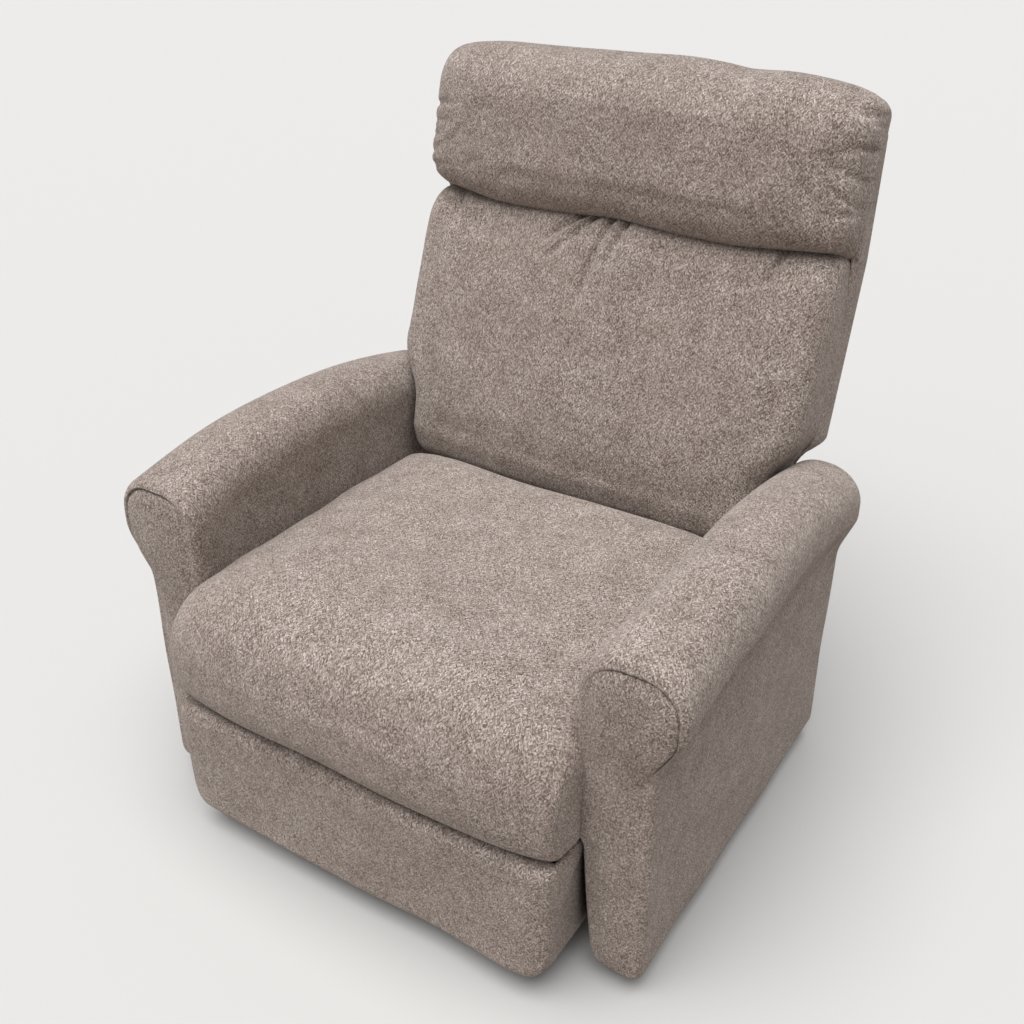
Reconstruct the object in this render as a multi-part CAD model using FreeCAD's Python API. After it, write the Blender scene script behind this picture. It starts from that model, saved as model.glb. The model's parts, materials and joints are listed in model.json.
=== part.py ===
import FreeCAD, Part
import math
import os

V = FreeCAD.Vector

# All sizes are millimetres. The chair faces -Y, +X is the seated person's left,
# the floor is Z = 0 and the origin is the middle of the chair's footprint.

# Arms
ARM_GAP_HALF = 313.0
ARM_FOOT_TAPER = 30.0
ARM_TAPER_Z = 330.0
ARM_THICKNESS = 99.0
ROLL_OVERHANG = 23.0
ROLL_DROP = 48.0
ROLL_NECK_DROP = 145.0
ARM_FRONT = -363.0
ARM_REAR = 263.0
ARM_BOTTOM = 28.0
ARM_TOP_FRONT = 529.0
ARM_TOP_MID = 554.0
ARM_TOP_REAR = 494.0
ARM_MID_Y = -150.0
FACING_THICKNESS = 13.0
FACING_INSET = 10.0
FACING_EDGE = 2.0
ARM_PANEL_THICKNESS = 18.0
ARM_PANEL_BORDER = 14.0
ARM_PANEL_TOP_DROP = 150.0
ARM_WINDOW_MARGIN = 60.0
ARM_WINDOW_WIDTH = 90.0
ARM_WINDOW_SPACING = 130.0
ARM_WINDOW_COUNT = 2
ARM_WINDOW_RADIUS = 30.0

# Seat
SEAT_FRONT = -450.0
SEAT_REAR = 92.0
SEAT_REAR_BOW = 40.0
SEAT_REAR_FOOT = 158.0
SEAT_DECK_Z = 298.0
SEAT_CROWN_Z = 440.0
SEAT_EDGE_Z = 366.0
SEAT_LIP_Z = 232.0
SEAT_LIP_DEPTH = 82.0
SEAT_SIDE_CLEARANCE = 2.0
SEAT_REAR_FALL = 14.0
SEAT_REAR_ROUND = 30.0
SEAT_FRONT_ROUND = 100.0
SEAT_LIP_ROUND = 42.0
SEAT_INNER_ROUND = 5.0
SEAT_EDGE_DRAW_IN = 22.0
RAIL_THICKNESS = 18.0
RAIL_HEIGHT = 62.0
REAR_RAIL_HEIGHT = 48.0
FRONT_RAIL_Y = -360.0
REAR_RAIL_Y = 150.0
SPRING_COUNT = 5
SPRING_EDGE = 92.0
SPRING_WIRE = 4.0
SPRING_LOOPS = 11
SPRING_WIDTH = 52.0
SPRING_END = 12.0
REST_CLEARANCE = 0.3

# Mechanism side plates and link layers
PLATE_INSET = 13.0
STEEL = 4.0
LAYER_GAP = 2.0
PIN_RADIUS = 5.0
PIN_HEAD_RADIUS = 9.0
PIN_HEAD_THICKNESS = 1.2
RUNNING_CLEARANCE = 0.05
OPEN_PIVOT_CLEARANCE = 0.3
AXIAL_CLEARANCE = 0.3
LINK_WIDTH = 18.0
LINK_BOSS = 22.0
SLIM_LINK_WIDTH = 15.0
SLIM_LINK_BOSS = 20.0
PLATE_CORNER = 9.0
PLATE_WINDOW_LENGTH = 82.0
PLATE_WINDOW_HEIGHT = 64.0

# Footrest linkage, as seen from the side (Y, Z)
REAR_LINK_PIVOT = (-300.0, 195.0)
LINK_REST_ANGLE = -77.6
REAR_LINK_LENGTH = 160.0
KNEE_SPACING = 45.0
FRONT_PIVOT_OFFSET = 45.0
FRONT_PIVOT_ANGLE = 150.0
FOOTREST_PIVOT = (-376.0, 172.0)
CRANK_LENGTH = 60.0
DRIVE_PIVOT = (-120.0, 220.0)
DRIVE_TUBE = 16.0
DRIVE_TUBE_WALL = 2.0
DRIVE_BUSH_RADIUS = 12.6
DRIVE_HUB_RADIUS = 16.0
DRIVE_ARM_HOLE = 17.0

# Footrest
FOOTREST_FRONT = -440.0
FOOTREST_PAD_THICKNESS = 26.0
FOOTREST_BOARD_THICKNESS = 12.0
FOOTREST_BOTTOM = 33.0
FOOTREST_TOP = 226.0
FOOTREST_SIDE_INSET = 1.0
FOOTREST_CORNER = 36.0
FOOTREST_WING_DEPTH = 64.0
FOOTREST_WING_THICKNESS = 7.0
FOOTREST_WING_SETBACK = 1.0
FOOTREST_CROWN_INSET = 13.0
FOOTREST_BOARD_BORDER = 11.0
FLANGE_WIDTH = 34.0
FLANGE_THICKNESS = 3.0

# Release lever
LEVER_LENGTH = 165.0
LEVER_REST_ANGLE = 152.0
LEVER_THICKNESS = 6.0
LEVER_ROOT_WIDTH = 26.0
LEVER_TIP_WIDTH = 18.0
LEVER_SIDE_CLEARANCE = 3.0
GRIP_LENGTH = 92.0
GRIP_WIDTH = 30.0
GRIP_THICKNESS = 15.0
GRIP_BULGE = 2.0

# Back, drawn upright on the recline pivot and then leaned
BACK_PIVOT = (230.0, 330.0)
BACK_LEAN = 15.0
BACK_ARM_CLEARANCE = 4.0
BACK_FLARE = 41.0
BACK_FLARE_RISE = 55.0
BACK_TOP_TAPER = 19.0
BACK_PANEL_FLARE_FOOT = 165.0
BACK_CUSHION_FLARE_FOOT = 130.0
BACK_CUSHION_FLARE_RISE = 100.0
BACK_FRAME_TOP = 640.0
BACK_FRAME_FRONT = -8.0
BACK_FRAME_REAR = 40.0
BACK_POST_WIDTH = 24.0
BACK_POST_FOOT = 16.0
BACK_RAIL_HEIGHT = 45.0
BACK_RAIL_THICKNESS = 22.0
BACK_RAIL_FOOT = 30.0
BACK_PANEL_FOOT = 30.0
BACK_PANEL_THICKNESS = 10.0
BACK_PANEL_INSET = 8.0
CUSHION_SEAT_W = -12.0
BACK_CUSHION_CROWN = 26.0
BACK_CUSHION_ROUND = 42.0
BACK_CUSHION_FRONT_ROUND = 2400.0
BACK_CUSHION_SEAM_ROUND = 3.0
WEBBING_COUNT = 6
WEBBING_WIDTH = 50.0
WEBBING_THICKNESS = 2.0
WEBBING_EDGE = 55.0

# Back cushion from foot to top: height along the back, depth in the middle, draw-in of the sides
BACK_CUSHION_PROFILE = (
    (30.0, 98.0, 14.0), (45.0, 126.0, 4.0), (75.0, 144.0, 0.0), (130.0, 149.0, 0.0), (180.0, 145.0, 0.0),
    (230.0, 138.0, 0.0), (300.0, 128.0, 0.0), (380.0, 116.0, 2.0), (430.0, 106.0, 6.0), (454.0, 92.0, 12.0),
    (463.0, 76.0, 18.0))

# Headrest pillow
HEADREST_OVERHANG = 7.0
HEADREST_TOP = 710.0
HEADREST_FRONT_W = -125.0
HEADREST_REAR_W = 52.4
HEADREST_REAR_FALL = 16.0
HEADREST_END_DRAW_IN = 44.0
HEADREST_REAR_DRAW_IN = 56.0
HEADREST_FRONT_ROUND = 80.0
HEADREST_FOOT_ROUND = 52.0
HEADREST_REAR_ROUND = 50.0
HEADREST_SEAM_ROUND = 0.8

# Recline rockers that roll the seat forward as the back goes down
ROCKER_PIVOT = (45.0, 100.0)
ROCKER_LENGTH = 170.0
RECLINE_RANGE = 36.0
RECLINE_ARM = 70.0
RECLINE_ARM_ANGLE = -34.0
GUIDE_SLOT_CLEARANCE = 0.7
STANCHION_FOOT_LENGTH = 84.0
STANCHION_TOP_WIDTH = 36.0
STANCHION_TOP_MARGIN = 14.0

# Floor base
TRACK_INSET = 55.0
TRACK_WIDTH = 30.0
TRACK_WALL = 3.0
TRACK_FRONT = -332.0
TRACK_REAR = 228.0
FOOT_HEIGHT = 10.0
FOOT_RADIUS = 16.0
FOOT_STEM_RADIUS = 4.0
FOOT_END_MARGIN = 26.0
ROLLER_DIAMETER = 39.4
ROLLER_WIDTH = 16.0
ROLLER_AXLE_RADIUS = 6.0
ROLLER_FRONT_Y = -190.0
ROLLER_REAR_Y = 195.0
CROSS_TUBE_DEPTH = 30.0
CROSS_TUBE_HEIGHT = 25.0
CROSS_TUBE_WALL = 2.0
CROSS_FRONT_Y = -262.0
CROSS_REAR_Y = 185.0
BOLT_RADIUS = 4.0
BOLT_HEAD_RADIUS = 7.0
BOLT_HEAD_HEIGHT = 4.0
FRAME_BOLT_HEAD = 1.5
FRAME_BOLT_MARGIN = 120.0
FRAME_BOLT_SPACING = 100.0
FRAME_BOLT_REAR_MARGIN = 10.0

# Where the sections of a pillow lie across its half width
CUSHION_STATIONS = (-1.0, -0.97, -0.88, -0.7, -0.4, 0.0, 0.4, 0.7, 0.88, 0.97, 1.0)

# Derived places
DECK_TOP = SEAT_DECK_Z + SPRING_WIRE + REST_CLEARANCE
PLATE_INNER_X = ARM_GAP_HALF - PLATE_INSET
PLATE_OUTER_X = PLATE_INNER_X + STEEL
LAYER_1 = PLATE_INNER_X - LAYER_GAP - STEEL
LAYER_2 = LAYER_1 - LAYER_GAP - STEEL
LAYER_3 = LAYER_2 - LAYER_GAP - STEEL
ARM_OUTER_FOOT = ARM_GAP_HALF + ARM_THICKNESS
ARM_PANEL_X = ARM_OUTER_FOOT - ARM_PANEL_BORDER - ARM_PANEL_THICKNESS
ARM_PAD_FRONT = ARM_FRONT + FACING_THICKNESS
TRACK_INNER_X = PLATE_INNER_X - TRACK_INSET
TRACK_TOP = FOOT_HEIGHT + 2 * TRACK_WALL + ROLLER_DIAMETER + 2 * REST_CLEARANCE
ROLLER_Z = FOOT_HEIGHT + TRACK_WALL + REST_CLEARANCE + ROLLER_DIAMETER / 2
FOOTREST_HALF_WIDTH = ARM_GAP_HALF - FOOTREST_SIDE_INSET
BOARD_FRONT = FOOTREST_FRONT + FOOTREST_PAD_THICKNESS
BOARD_REAR = BOARD_FRONT + FOOTREST_BOARD_THICKNESS
FRAME_BOLT_Z = SEAT_DECK_Z - RAIL_HEIGHT / 2
FRAME_BOLT_PLACES = (
    ARM_FRONT + FRAME_BOLT_MARGIN, ARM_FRONT + FRAME_BOLT_MARGIN + FRAME_BOLT_SPACING,
    REAR_RAIL_Y - FRAME_BOLT_REAR_MARGIN)
BACK_ARM_HALF_WIDTH = ARM_GAP_HALF - BACK_ARM_CLEARANCE
BACK_SHOULDER_HALF_WIDTH = BACK_ARM_HALF_WIDTH + BACK_FLARE
BACK_CUSHION_TOP = BACK_CUSHION_PROFILE[-1][0]
HEADREST_HALF_WIDTH = BACK_SHOULDER_HALF_WIDTH + HEADREST_OVERHANG


def polar(length, degrees):
    """Offset (y, z) of a given length at an angle from +Y towards +Z."""
    angle = math.radians(degrees)
    return (length * math.cos(angle), length * math.sin(angle))


def add(place, offset):
    return (place[0] + offset[0], place[1] + offset[1])


LINK_OFFSET = polar(1.0, LINK_REST_ANGLE)


def along_link(pivot, distance):
    return (pivot[0] + distance * LINK_OFFSET[0], pivot[1] + distance * LINK_OFFSET[1])


KNEE = along_link(REAR_LINK_PIVOT, REAR_LINK_LENGTH)
UPPER_KNEE = along_link(REAR_LINK_PIVOT, REAR_LINK_LENGTH - KNEE_SPACING)
ROD_ON_LINK = along_link(REAR_LINK_PIVOT, CRANK_LENGTH)
ROD_ON_CRANK = along_link(DRIVE_PIVOT, CRANK_LENGTH)
FRONT_LINK_PIVOT = add(REAR_LINK_PIVOT, polar(FRONT_PIVOT_OFFSET, FRONT_PIVOT_ANGLE))
FRONT_LINK_END = along_link(FRONT_LINK_PIVOT, REAR_LINK_LENGTH)
FOOTREST_UPPER_PIVOT = along_link(FOOTREST_PIVOT, -KNEE_SPACING)
BACK_ROD_PIN = add(BACK_PIVOT, polar(RECLINE_ARM, RECLINE_ARM_ANGLE))
ROCKER_ROD_PIN = add(ROCKER_PIVOT, polar(RECLINE_ARM, RECLINE_ARM_ANGLE))
GUIDE_PIN = add(ROCKER_PIVOT, polar(ROCKER_LENGTH, 90.0 + RECLINE_RANGE / 2))


def line(start, end):
    return Part.makeLine(start, end)


def bowed(start, end, rise, outward):
    """Arc from start to end whose middle stands off the chord by rise along outward."""
    middle = (start + end) * 0.5
    direction = V(outward)
    chord = end - start
    direction = direction - chord * (direction.dot(chord) / chord.dot(chord))
    direction.normalize()
    return Part.Arc(start, middle + direction * rise, end).toShape()


def arc_leaving(start, end, tangent):
    """Arc from start to end that leaves start along tangent."""
    chord = end - start
    turn = tangent.getAngle(chord)
    return bowed(start, end, chord.Length / 2 * math.tan(turn / 2), tangent)


def rounded_wire(corners, radii):
    """Closed outline of straight sides with each corner rounded by its own radius."""
    starts, middles, ends = [], [], []
    for number, corner in enumerate(corners):
        back = corners[number - 1] - corner
        ahead = corners[(number + 1) % len(corners)] - corner
        back.normalize()
        ahead.normalize()
        half_angle = back.getAngle(ahead) / 2
        inward = back + ahead
        inward.normalize()
        radius = radii[number]
        starts.append(corner + back * (radius / math.tan(half_angle)))
        ends.append(corner + ahead * (radius / math.tan(half_angle)))
        middles.append(corner + inward * (radius / math.sin(half_angle) - radius))
    edges = []
    for number, start in enumerate(starts):
        edges.append(Part.Arc(start, middles[number], ends[number]).toShape())
        edges.append(line(ends[number], starts[(number + 1) % len(starts)]))
    return Part.Wire(edges)


def block(low, high):
    size = V(high[0] - low[0], high[1] - low[1], high[2] - low[2])
    return Part.makeBox(size.x, size.y, size.z, V(low))


def rod_x(radius, x_from, x_to, place):
    """Round bar along X at a side-view place."""
    return Part.makeCylinder(radius, x_to - x_from, V(x_from, place[0], place[1]), V(1, 0, 0))


def plate_x(outline, x_from, thickness):
    """Flat plate square to X from a closed side-view outline."""
    points = [V(x_from, y, z) for y, z in outline]
    points.append(points[0])
    return Part.Face(Part.makePolygon(points)).extrude(V(thickness, 0, 0))


def joined(shapes):
    shape = shapes[0]
    for other in shapes[1:]:
        shape = shape.fuse(other)
    return shape.removeSplitter()


def rounded_along_x(shape, radius):
    """Round the corners of a plate that stands square to X."""
    edges = []
    for edge in shape.Edges:
        ends = edge.Vertexes
        if len(ends) == 2 and abs(abs(ends[0].X - ends[1].X) - edge.Length) < 1e-6:
            edges.append(edge)
    return shape.makeFillet(radius, edges)


def mirrored(shape):
    return shape.mirror(V(0, 0, 0), V(1, 0, 0))


def leaned(shape):
    """Move a back piece from its upright drawing to its place on the leaning back."""
    shape = shape.copy()
    shape.rotate(V(0, 0, 0), V(1, 0, 0), -BACK_LEAN)
    shape.translate(V(0, BACK_PIVOT[0], BACK_PIVOT[1]))
    return shape


def loft(wires, ruled=False):
    return Part.makeLoft(wires, True, ruled)


def save(name, shape):
    shape.exportStep("parts/" + name + ".step")


def save_pair(name, left_shape):
    save(name + "_l", left_shape)
    save(name + "_r", mirrored(left_shape))


def bar_between(start, end, width, x_from):
    """Straight strip of steel between two pivots."""
    run = V(0, end[0] - start[0], end[1] - start[1])
    side = V(0, -run.z, run.y)
    side.normalize()
    side = side * (width / 2)
    a = V(x_from, start[0], start[1])
    b = V(x_from, end[0], end[1])
    corners = [a + side, b + side, b - side, a - side, a + side]
    return Part.Face(Part.makePolygon(corners)).extrude(V(STEEL, 0, 0))


def link_plate(pivots, x_from, width, boss):
    """Stamped link: strips between neighbouring pivots with a round boss at each."""
    pieces = [rod_x(boss / 2, x_from, x_from + STEEL, place) for place in pivots]
    for start, end in zip(pivots, pivots[1:]):
        pieces.append(bar_between(start, end, width, x_from))
    return joined(pieces)


def pin_hole(layer, place, clearance):
    return rod_x(PIN_RADIUS + clearance, layer - STEEL, layer + 2 * STEEL, place)


def stud(carrier_face_x, place):
    """Shoulder rivet staked on a plate's inner face, carrying the next layer's link."""
    link_outer = carrier_face_x - LAYER_GAP
    link_inner = link_outer - STEEL
    head_outer = link_inner - AXIAL_CLEARANCE
    head_inner = head_outer - PIN_HEAD_THICKNESS
    shoulder = rod_x(PIN_HEAD_RADIUS, link_outer + AXIAL_CLEARANCE, carrier_face_x, place)
    shaft = rod_x(PIN_RADIUS, head_inner, carrier_face_x, place)
    head = rod_x(PIN_HEAD_RADIUS, head_inner, head_outer, place)
    return joined([shoulder, shaft, head])


# Arms


def arm_top(y):
    """Height of the arm's ridge: a parabola through its front, middle and rear heights."""
    front, middle, rear = ARM_FRONT, ARM_MID_Y, ARM_REAR
    total = ARM_TOP_FRONT * (y - middle) * (y - rear) / ((front - middle) * (front - rear))
    total += ARM_TOP_MID * (y - front) * (y - rear) / ((middle - front) * (middle - rear))
    total += ARM_TOP_REAR * (y - front) * (y - middle) / ((rear - front) * (rear - middle))
    return total


def arm_section(y, inset=0.0):
    """Front-view outline of the left arm: inner face tapering to the foot, rolled top, flared outer side."""
    top = arm_top(y) - inset
    foot = ARM_BOTTOM + inset
    inner = ARM_GAP_HALF + inset
    outer_foot = ARM_OUTER_FOOT - inset
    roll = outer_foot + ROLL_OVERHANG
    a = V(inner + ARM_FOOT_TAPER, y, foot)
    b = V(inner, y, ARM_TAPER_Z)
    c = V(inner, y, top - ROLL_DROP)
    d = V(roll - ROLL_DROP, y, top)
    e = V(roll, y, top - ROLL_DROP)
    f = V(roll - ROLL_OVERHANG / 2, y, top - (ROLL_DROP + ROLL_NECK_DROP) / 2)
    g = V(outer_foot, y, top - ROLL_NECK_DROP)
    h = V(outer_foot, y, foot)
    edges = [
        arc_leaving(b, a, V(0, 0, -1)),
        line(b, c),
        arc_leaving(d, c, V(-1, 0, 0)),
        arc_leaving(d, e, V(1, 0, 0)),
        arc_leaving(e, f, V(0, 0, -1)),
        arc_leaving(g, f, V(0, 0, 1)),
        line(g, h),
        line(h, a),
    ]
    return Part.Wire(Part.sortEdges(edges)[0])


def arm_panel():
    """Plywood arm panel inside the upholstery, on which the arm is bolted to the seat."""
    low = (ARM_PANEL_X, ARM_PAD_FRONT + ARM_PANEL_BORDER, ARM_BOTTOM)
    high = (ARM_PANEL_X + ARM_PANEL_THICKNESS, ARM_REAR - ARM_PANEL_BORDER, ARM_TOP_FRONT - ARM_PANEL_TOP_DROP)
    return block(low, high)


def arm_windows():
    """Weight-saving windows behind the drive tube's hole."""
    windows = []
    for number in range(ARM_WINDOW_COUNT):
        low = DRIVE_PIVOT[0] + ARM_WINDOW_MARGIN + number * ARM_WINDOW_SPACING
        high = low + ARM_WINDOW_WIDTH
        bottom = ARM_BOTTOM + ARM_WINDOW_MARGIN
        top = bottom + ARM_WINDOW_WIDTH
        outline = [(low, bottom), (high, bottom), (high, top), (low, top)]
        windows.append(rounded_along_x(plate_x(outline, ARM_PANEL_X, ARM_PANEL_THICKNESS), ARM_WINDOW_RADIUS))
    return windows


def frame_bolt(y):
    """Long bolt that ties side plate, seat rail and arm panel together."""
    place = (y, FRAME_BOLT_Z)
    shank = rod_x(BOLT_RADIUS, PLATE_INNER_X, ARM_PANEL_X + ARM_PANEL_THICKNESS, place)
    head = rod_x(BOLT_HEAD_RADIUS, PLATE_INNER_X - FRAME_BOLT_HEAD, PLATE_INNER_X, place)
    return joined([shank, head])


def make_arms():
    stations = (
        ARM_PAD_FRONT, (ARM_PAD_FRONT + ARM_MID_Y) / 2, ARM_MID_Y, (ARM_MID_Y + ARM_REAR) / 2, ARM_REAR)
    pad = loft([arm_section(y) for y in stations])
    facing_middle = ARM_FRONT + FACING_THICKNESS / 2
    facing = loft(
        [arm_section(ARM_PAD_FRONT, FACING_EDGE), arm_section(facing_middle, FACING_EDGE),
         arm_section(ARM_FRONT, FACING_INSET)], True)
    panel = arm_panel()
    pad = pad.cut(panel).cut(seat_side_rail())
    bolts = [frame_bolt(y) for y in FRAME_BOLT_PLACES]
    for bolt in bolts:
        pad = pad.cut(bolt)
        panel = panel.cut(bolt)
    for window in arm_windows():
        panel = panel.cut(window)
    tube_hole = rod_x(DRIVE_ARM_HOLE, PLATE_INNER_X, ARM_OUTER_FOOT + ROLL_OVERHANG, DRIVE_PIVOT)
    save("arm_pad_l", pad)
    save("arm_pad_r", mirrored(pad.cut(tube_hole)))
    save_pair("arm_facing", facing)
    save("arm_panel_l", panel)
    save("arm_panel_r", mirrored(panel.cut(tube_hole)))
    save("frame_bolts", Part.makeCompound(bolts + [mirrored(bolt) for bolt in bolts]))


# Seat


def seat_section(share, half):
    """Side-view outline of the seat cushion at a share of its half width: sloping rear, crowned top,
    waterfall front and turned-down lip."""
    fullness = swell(share)
    inset = SEAT_EDGE_DRAW_IN * (1 - fullness)
    crown = SEAT_EDGE_Z + (SEAT_CROWN_Z - SEAT_EDGE_Z) * fullness
    lip = SEAT_LIP_Z + inset / 2
    scale = (crown - lip) / (SEAT_CROWN_Z - SEAT_LIP_Z)
    front = SEAT_FRONT + inset
    lip_back = SEAT_FRONT + SEAT_LIP_DEPTH
    rear = SEAT_REAR + SEAT_REAR_BOW * share * share
    places = [
        (SEAT_REAR_FOOT, DECK_TOP), (rear, crown - SEAT_REAR_FALL), (front, crown),
        (front, lip), (lip_back, lip), (lip_back, DECK_TOP)]
    radii = [
        SEAT_INNER_ROUND, SEAT_REAR_ROUND * scale, SEAT_FRONT_ROUND * scale,
        SEAT_LIP_ROUND * scale, SEAT_INNER_ROUND, SEAT_INNER_ROUND]
    return rounded_wire([V(share * half, y, z) for y, z in places], radii)


def swell(share):
    """Pillow fullness from 1 in the middle to 0 at the edge, on a rounded curve."""
    return math.sqrt(max(0.0, 1.0 - share ** 4))


def make_seat_cushion():
    half = ARM_GAP_HALF - SEAT_SIDE_CLEARANCE
    save("seat_cushion", loft([seat_section(share, half) for share in CUSHION_STATIONS]))


def seat_side_rail():
    """Side rail of the seat, let into the arm's upholstery."""
    return block(
        (PLATE_OUTER_X, ARM_PAD_FRONT, SEAT_DECK_Z - RAIL_HEIGHT),
        (PLATE_OUTER_X + RAIL_THICKNESS, REAR_RAIL_Y + RAIL_THICKNESS, SEAT_DECK_Z))


def make_seat_frame():
    side = seat_side_rail()
    for y in FRAME_BOLT_PLACES:
        side = side.cut(frame_bolt(y))
    save_pair("seat_side_rail", side)
    front = block(
        (-PLATE_INNER_X, FRONT_RAIL_Y, SEAT_DECK_Z - RAIL_HEIGHT),
        (PLATE_INNER_X, FRONT_RAIL_Y + RAIL_THICKNESS, SEAT_DECK_Z))
    save("seat_front_rail", front)
    rear = block(
        (-PLATE_INNER_X, REAR_RAIL_Y, SEAT_DECK_Z - REAR_RAIL_HEIGHT),
        (PLATE_INNER_X, REAR_RAIL_Y + RAIL_THICKNESS, SEAT_DECK_Z))
    save("seat_rear_rail", rear)


def seat_spring(x):
    """Zigzag spring: straight rungs joined by half-turn bends, drawn as a flat band and thickened."""
    first = FRONT_RAIL_Y + SPRING_END / 2
    last = REAR_RAIL_Y + RAIL_THICKNESS - SPRING_END / 2
    pitch = (last - first) / SPRING_LOOPS
    half = SPRING_WIDTH / 2 - pitch / 2
    wire = SPRING_WIRE / 2
    z = SEAT_DECK_Z
    pieces = []
    for number in range(SPRING_LOOPS + 1):
        y = first + number * pitch
        pieces.append(block((x - half, y - wire, z), (x + half, y + wire, z + SPRING_WIRE)))
    for number in range(SPRING_LOOPS):
        side = 1 if number % 2 == 0 else -1
        middle = V(x + side * half, first + (number + 0.5) * pitch, z)
        outer = Part.makeCylinder(pitch / 2 + wire, SPRING_WIRE, middle)
        bend = outer.cut(Part.makeCylinder(pitch / 2 - wire, SPRING_WIRE, middle))
        reach = pitch / 2 + wire
        low = (middle.x if side > 0 else middle.x - reach, middle.y - reach, z)
        high = (low[0] + reach, middle.y + reach, z + SPRING_WIRE)
        pieces.append(bend.common(block(low, high)))
    return joined(pieces)


def make_seat_springs():
    reach = PLATE_INNER_X - SPRING_EDGE
    spacing = 2 * reach / (SPRING_COUNT - 1)
    springs = [seat_spring(number * spacing - reach) for number in range(SPRING_COUNT)]
    save("seat_springs", Part.makeCompound(springs))


# Mechanism on the carriage


def side_plate():
    """Stamped side plate with its pivots, roller axles and weight-saving windows."""
    top = SEAT_DECK_Z - STEEL * 2
    ear = LINK_BOSS
    front = FRONT_LINK_PIVOT[0] - ear * 0.8
    low_front = REAR_LINK_PIVOT[1] - ear
    hang = ROLLER_Z - ROLLER_AXLE_RADIUS * 2
    belly = ROCKER_PIVOT[1] - ear
    back_y, back_z = BACK_PIVOT
    outline = [
        (front, top), (front, FRONT_LINK_PIVOT[1] - ear), (REAR_LINK_PIVOT[0] + ear, low_front),
        (ROLLER_FRONT_Y - ear, low_front - ear), (ROLLER_FRONT_Y - ear, hang),
        (ROLLER_FRONT_Y + ear, hang), (ROLLER_FRONT_Y + ear * 2, belly),
        (ROLLER_REAR_Y - ear * 2, belly), (ROLLER_REAR_Y - ear, hang),
        (ROLLER_REAR_Y + ear, hang), (ROLLER_REAR_Y + ear * 1.5, belly),
        (back_y + ear, back_z - ear), (back_y + ear * 0.8, back_z + ear * 0.8),
        (back_y - ear, back_z + ear * 0.8), (back_y - ear * 1.6, top),
    ]
    plate = rounded_along_x(plate_x(outline, PLATE_INNER_X, STEEL), PLATE_CORNER)
    for middle in (ROLLER_FRONT_Y + PLATE_WINDOW_LENGTH, (ROCKER_PIVOT[0] + ROLLER_REAR_Y) / 2):
        low, high = middle - PLATE_WINDOW_LENGTH / 2, middle + PLATE_WINDOW_LENGTH / 2
        bottom = belly + ear
        top_edge = bottom + PLATE_WINDOW_HEIGHT
        window = [(low, bottom), (high, bottom), (high, top_edge), (low, top_edge)]
        plate = plate.cut(rounded_along_x(plate_x(window, PLATE_INNER_X, STEEL), PLATE_CORNER))
    plate = plate.cut(rod_x(DRIVE_BUSH_RADIUS + RUNNING_CLEARANCE, PLATE_INNER_X, PLATE_OUTER_X, DRIVE_PIVOT))
    for y in FRAME_BOLT_PLACES:
        plate = plate.cut(frame_bolt(y))
    studs = [stud(PLATE_INNER_X, place) for place in
             (REAR_LINK_PIVOT, FRONT_LINK_PIVOT, BACK_PIVOT, ROCKER_PIVOT)]
    studs += [roller_axle(y) for y in (ROLLER_FRONT_Y, ROLLER_REAR_Y)]
    return joined([plate] + studs)


def roller_span():
    """Inner and outer X of a roller inside its track."""
    middle = TRACK_INNER_X + TRACK_WALL + (TRACK_WIDTH - TRACK_WALL) / 2
    return middle - ROLLER_WIDTH / 2, middle + ROLLER_WIDTH / 2


def roller_axle(y):
    inner, outer = roller_span()
    place = (y, ROLLER_Z)
    head_outer = inner - AXIAL_CLEARANCE
    shoulder = rod_x(PIN_HEAD_RADIUS, outer + AXIAL_CLEARANCE, PLATE_INNER_X, place)
    shaft = rod_x(ROLLER_AXLE_RADIUS, head_outer - PIN_HEAD_THICKNESS, PLATE_INNER_X, place)
    head = rod_x(PIN_HEAD_RADIUS, head_outer - PIN_HEAD_THICKNESS, head_outer, place)
    return joined([shoulder, shaft, head])


def roller(y):
    """Moulded roller: rounded tread, recessed web and plain bore, revolved about its axle."""
    inner, outer = roller_span()
    radius = ROLLER_DIAMETER / 2
    rim = radius * 0.8
    hub = ROLLER_AXLE_RADIUS * 1.6
    recess = ROLLER_WIDTH * 0.25
    crown = ROLLER_WIDTH * 0.12
    bore = ROLLER_AXLE_RADIUS + RUNNING_CLEARANCE
    profile = [
        (inner, bore), (inner, hub), (inner + recess, hub), (inner + recess, rim), (inner, rim),
        (inner, radius - crown), (inner + crown, radius), (outer - crown, radius), (outer, radius - crown),
        (outer, rim), (outer - recess, rim), (outer - recess, hub), (outer, hub), (outer, bore),
    ]
    points = [V(x, y, ROLLER_Z + distance) for x, distance in profile]
    points.append(points[0])
    return Part.Face(Part.makePolygon(points)).revolve(V(0, y, ROLLER_Z), V(1, 0, 0), 360)


def make_rollers():
    for name, y in (("front_rollers", ROLLER_FRONT_Y), ("rear_rollers", ROLLER_REAR_Y)):
        wheel = roller(y)
        save(name, Part.makeCompound([wheel, mirrored(wheel)]))


# Footrest linkage


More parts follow.
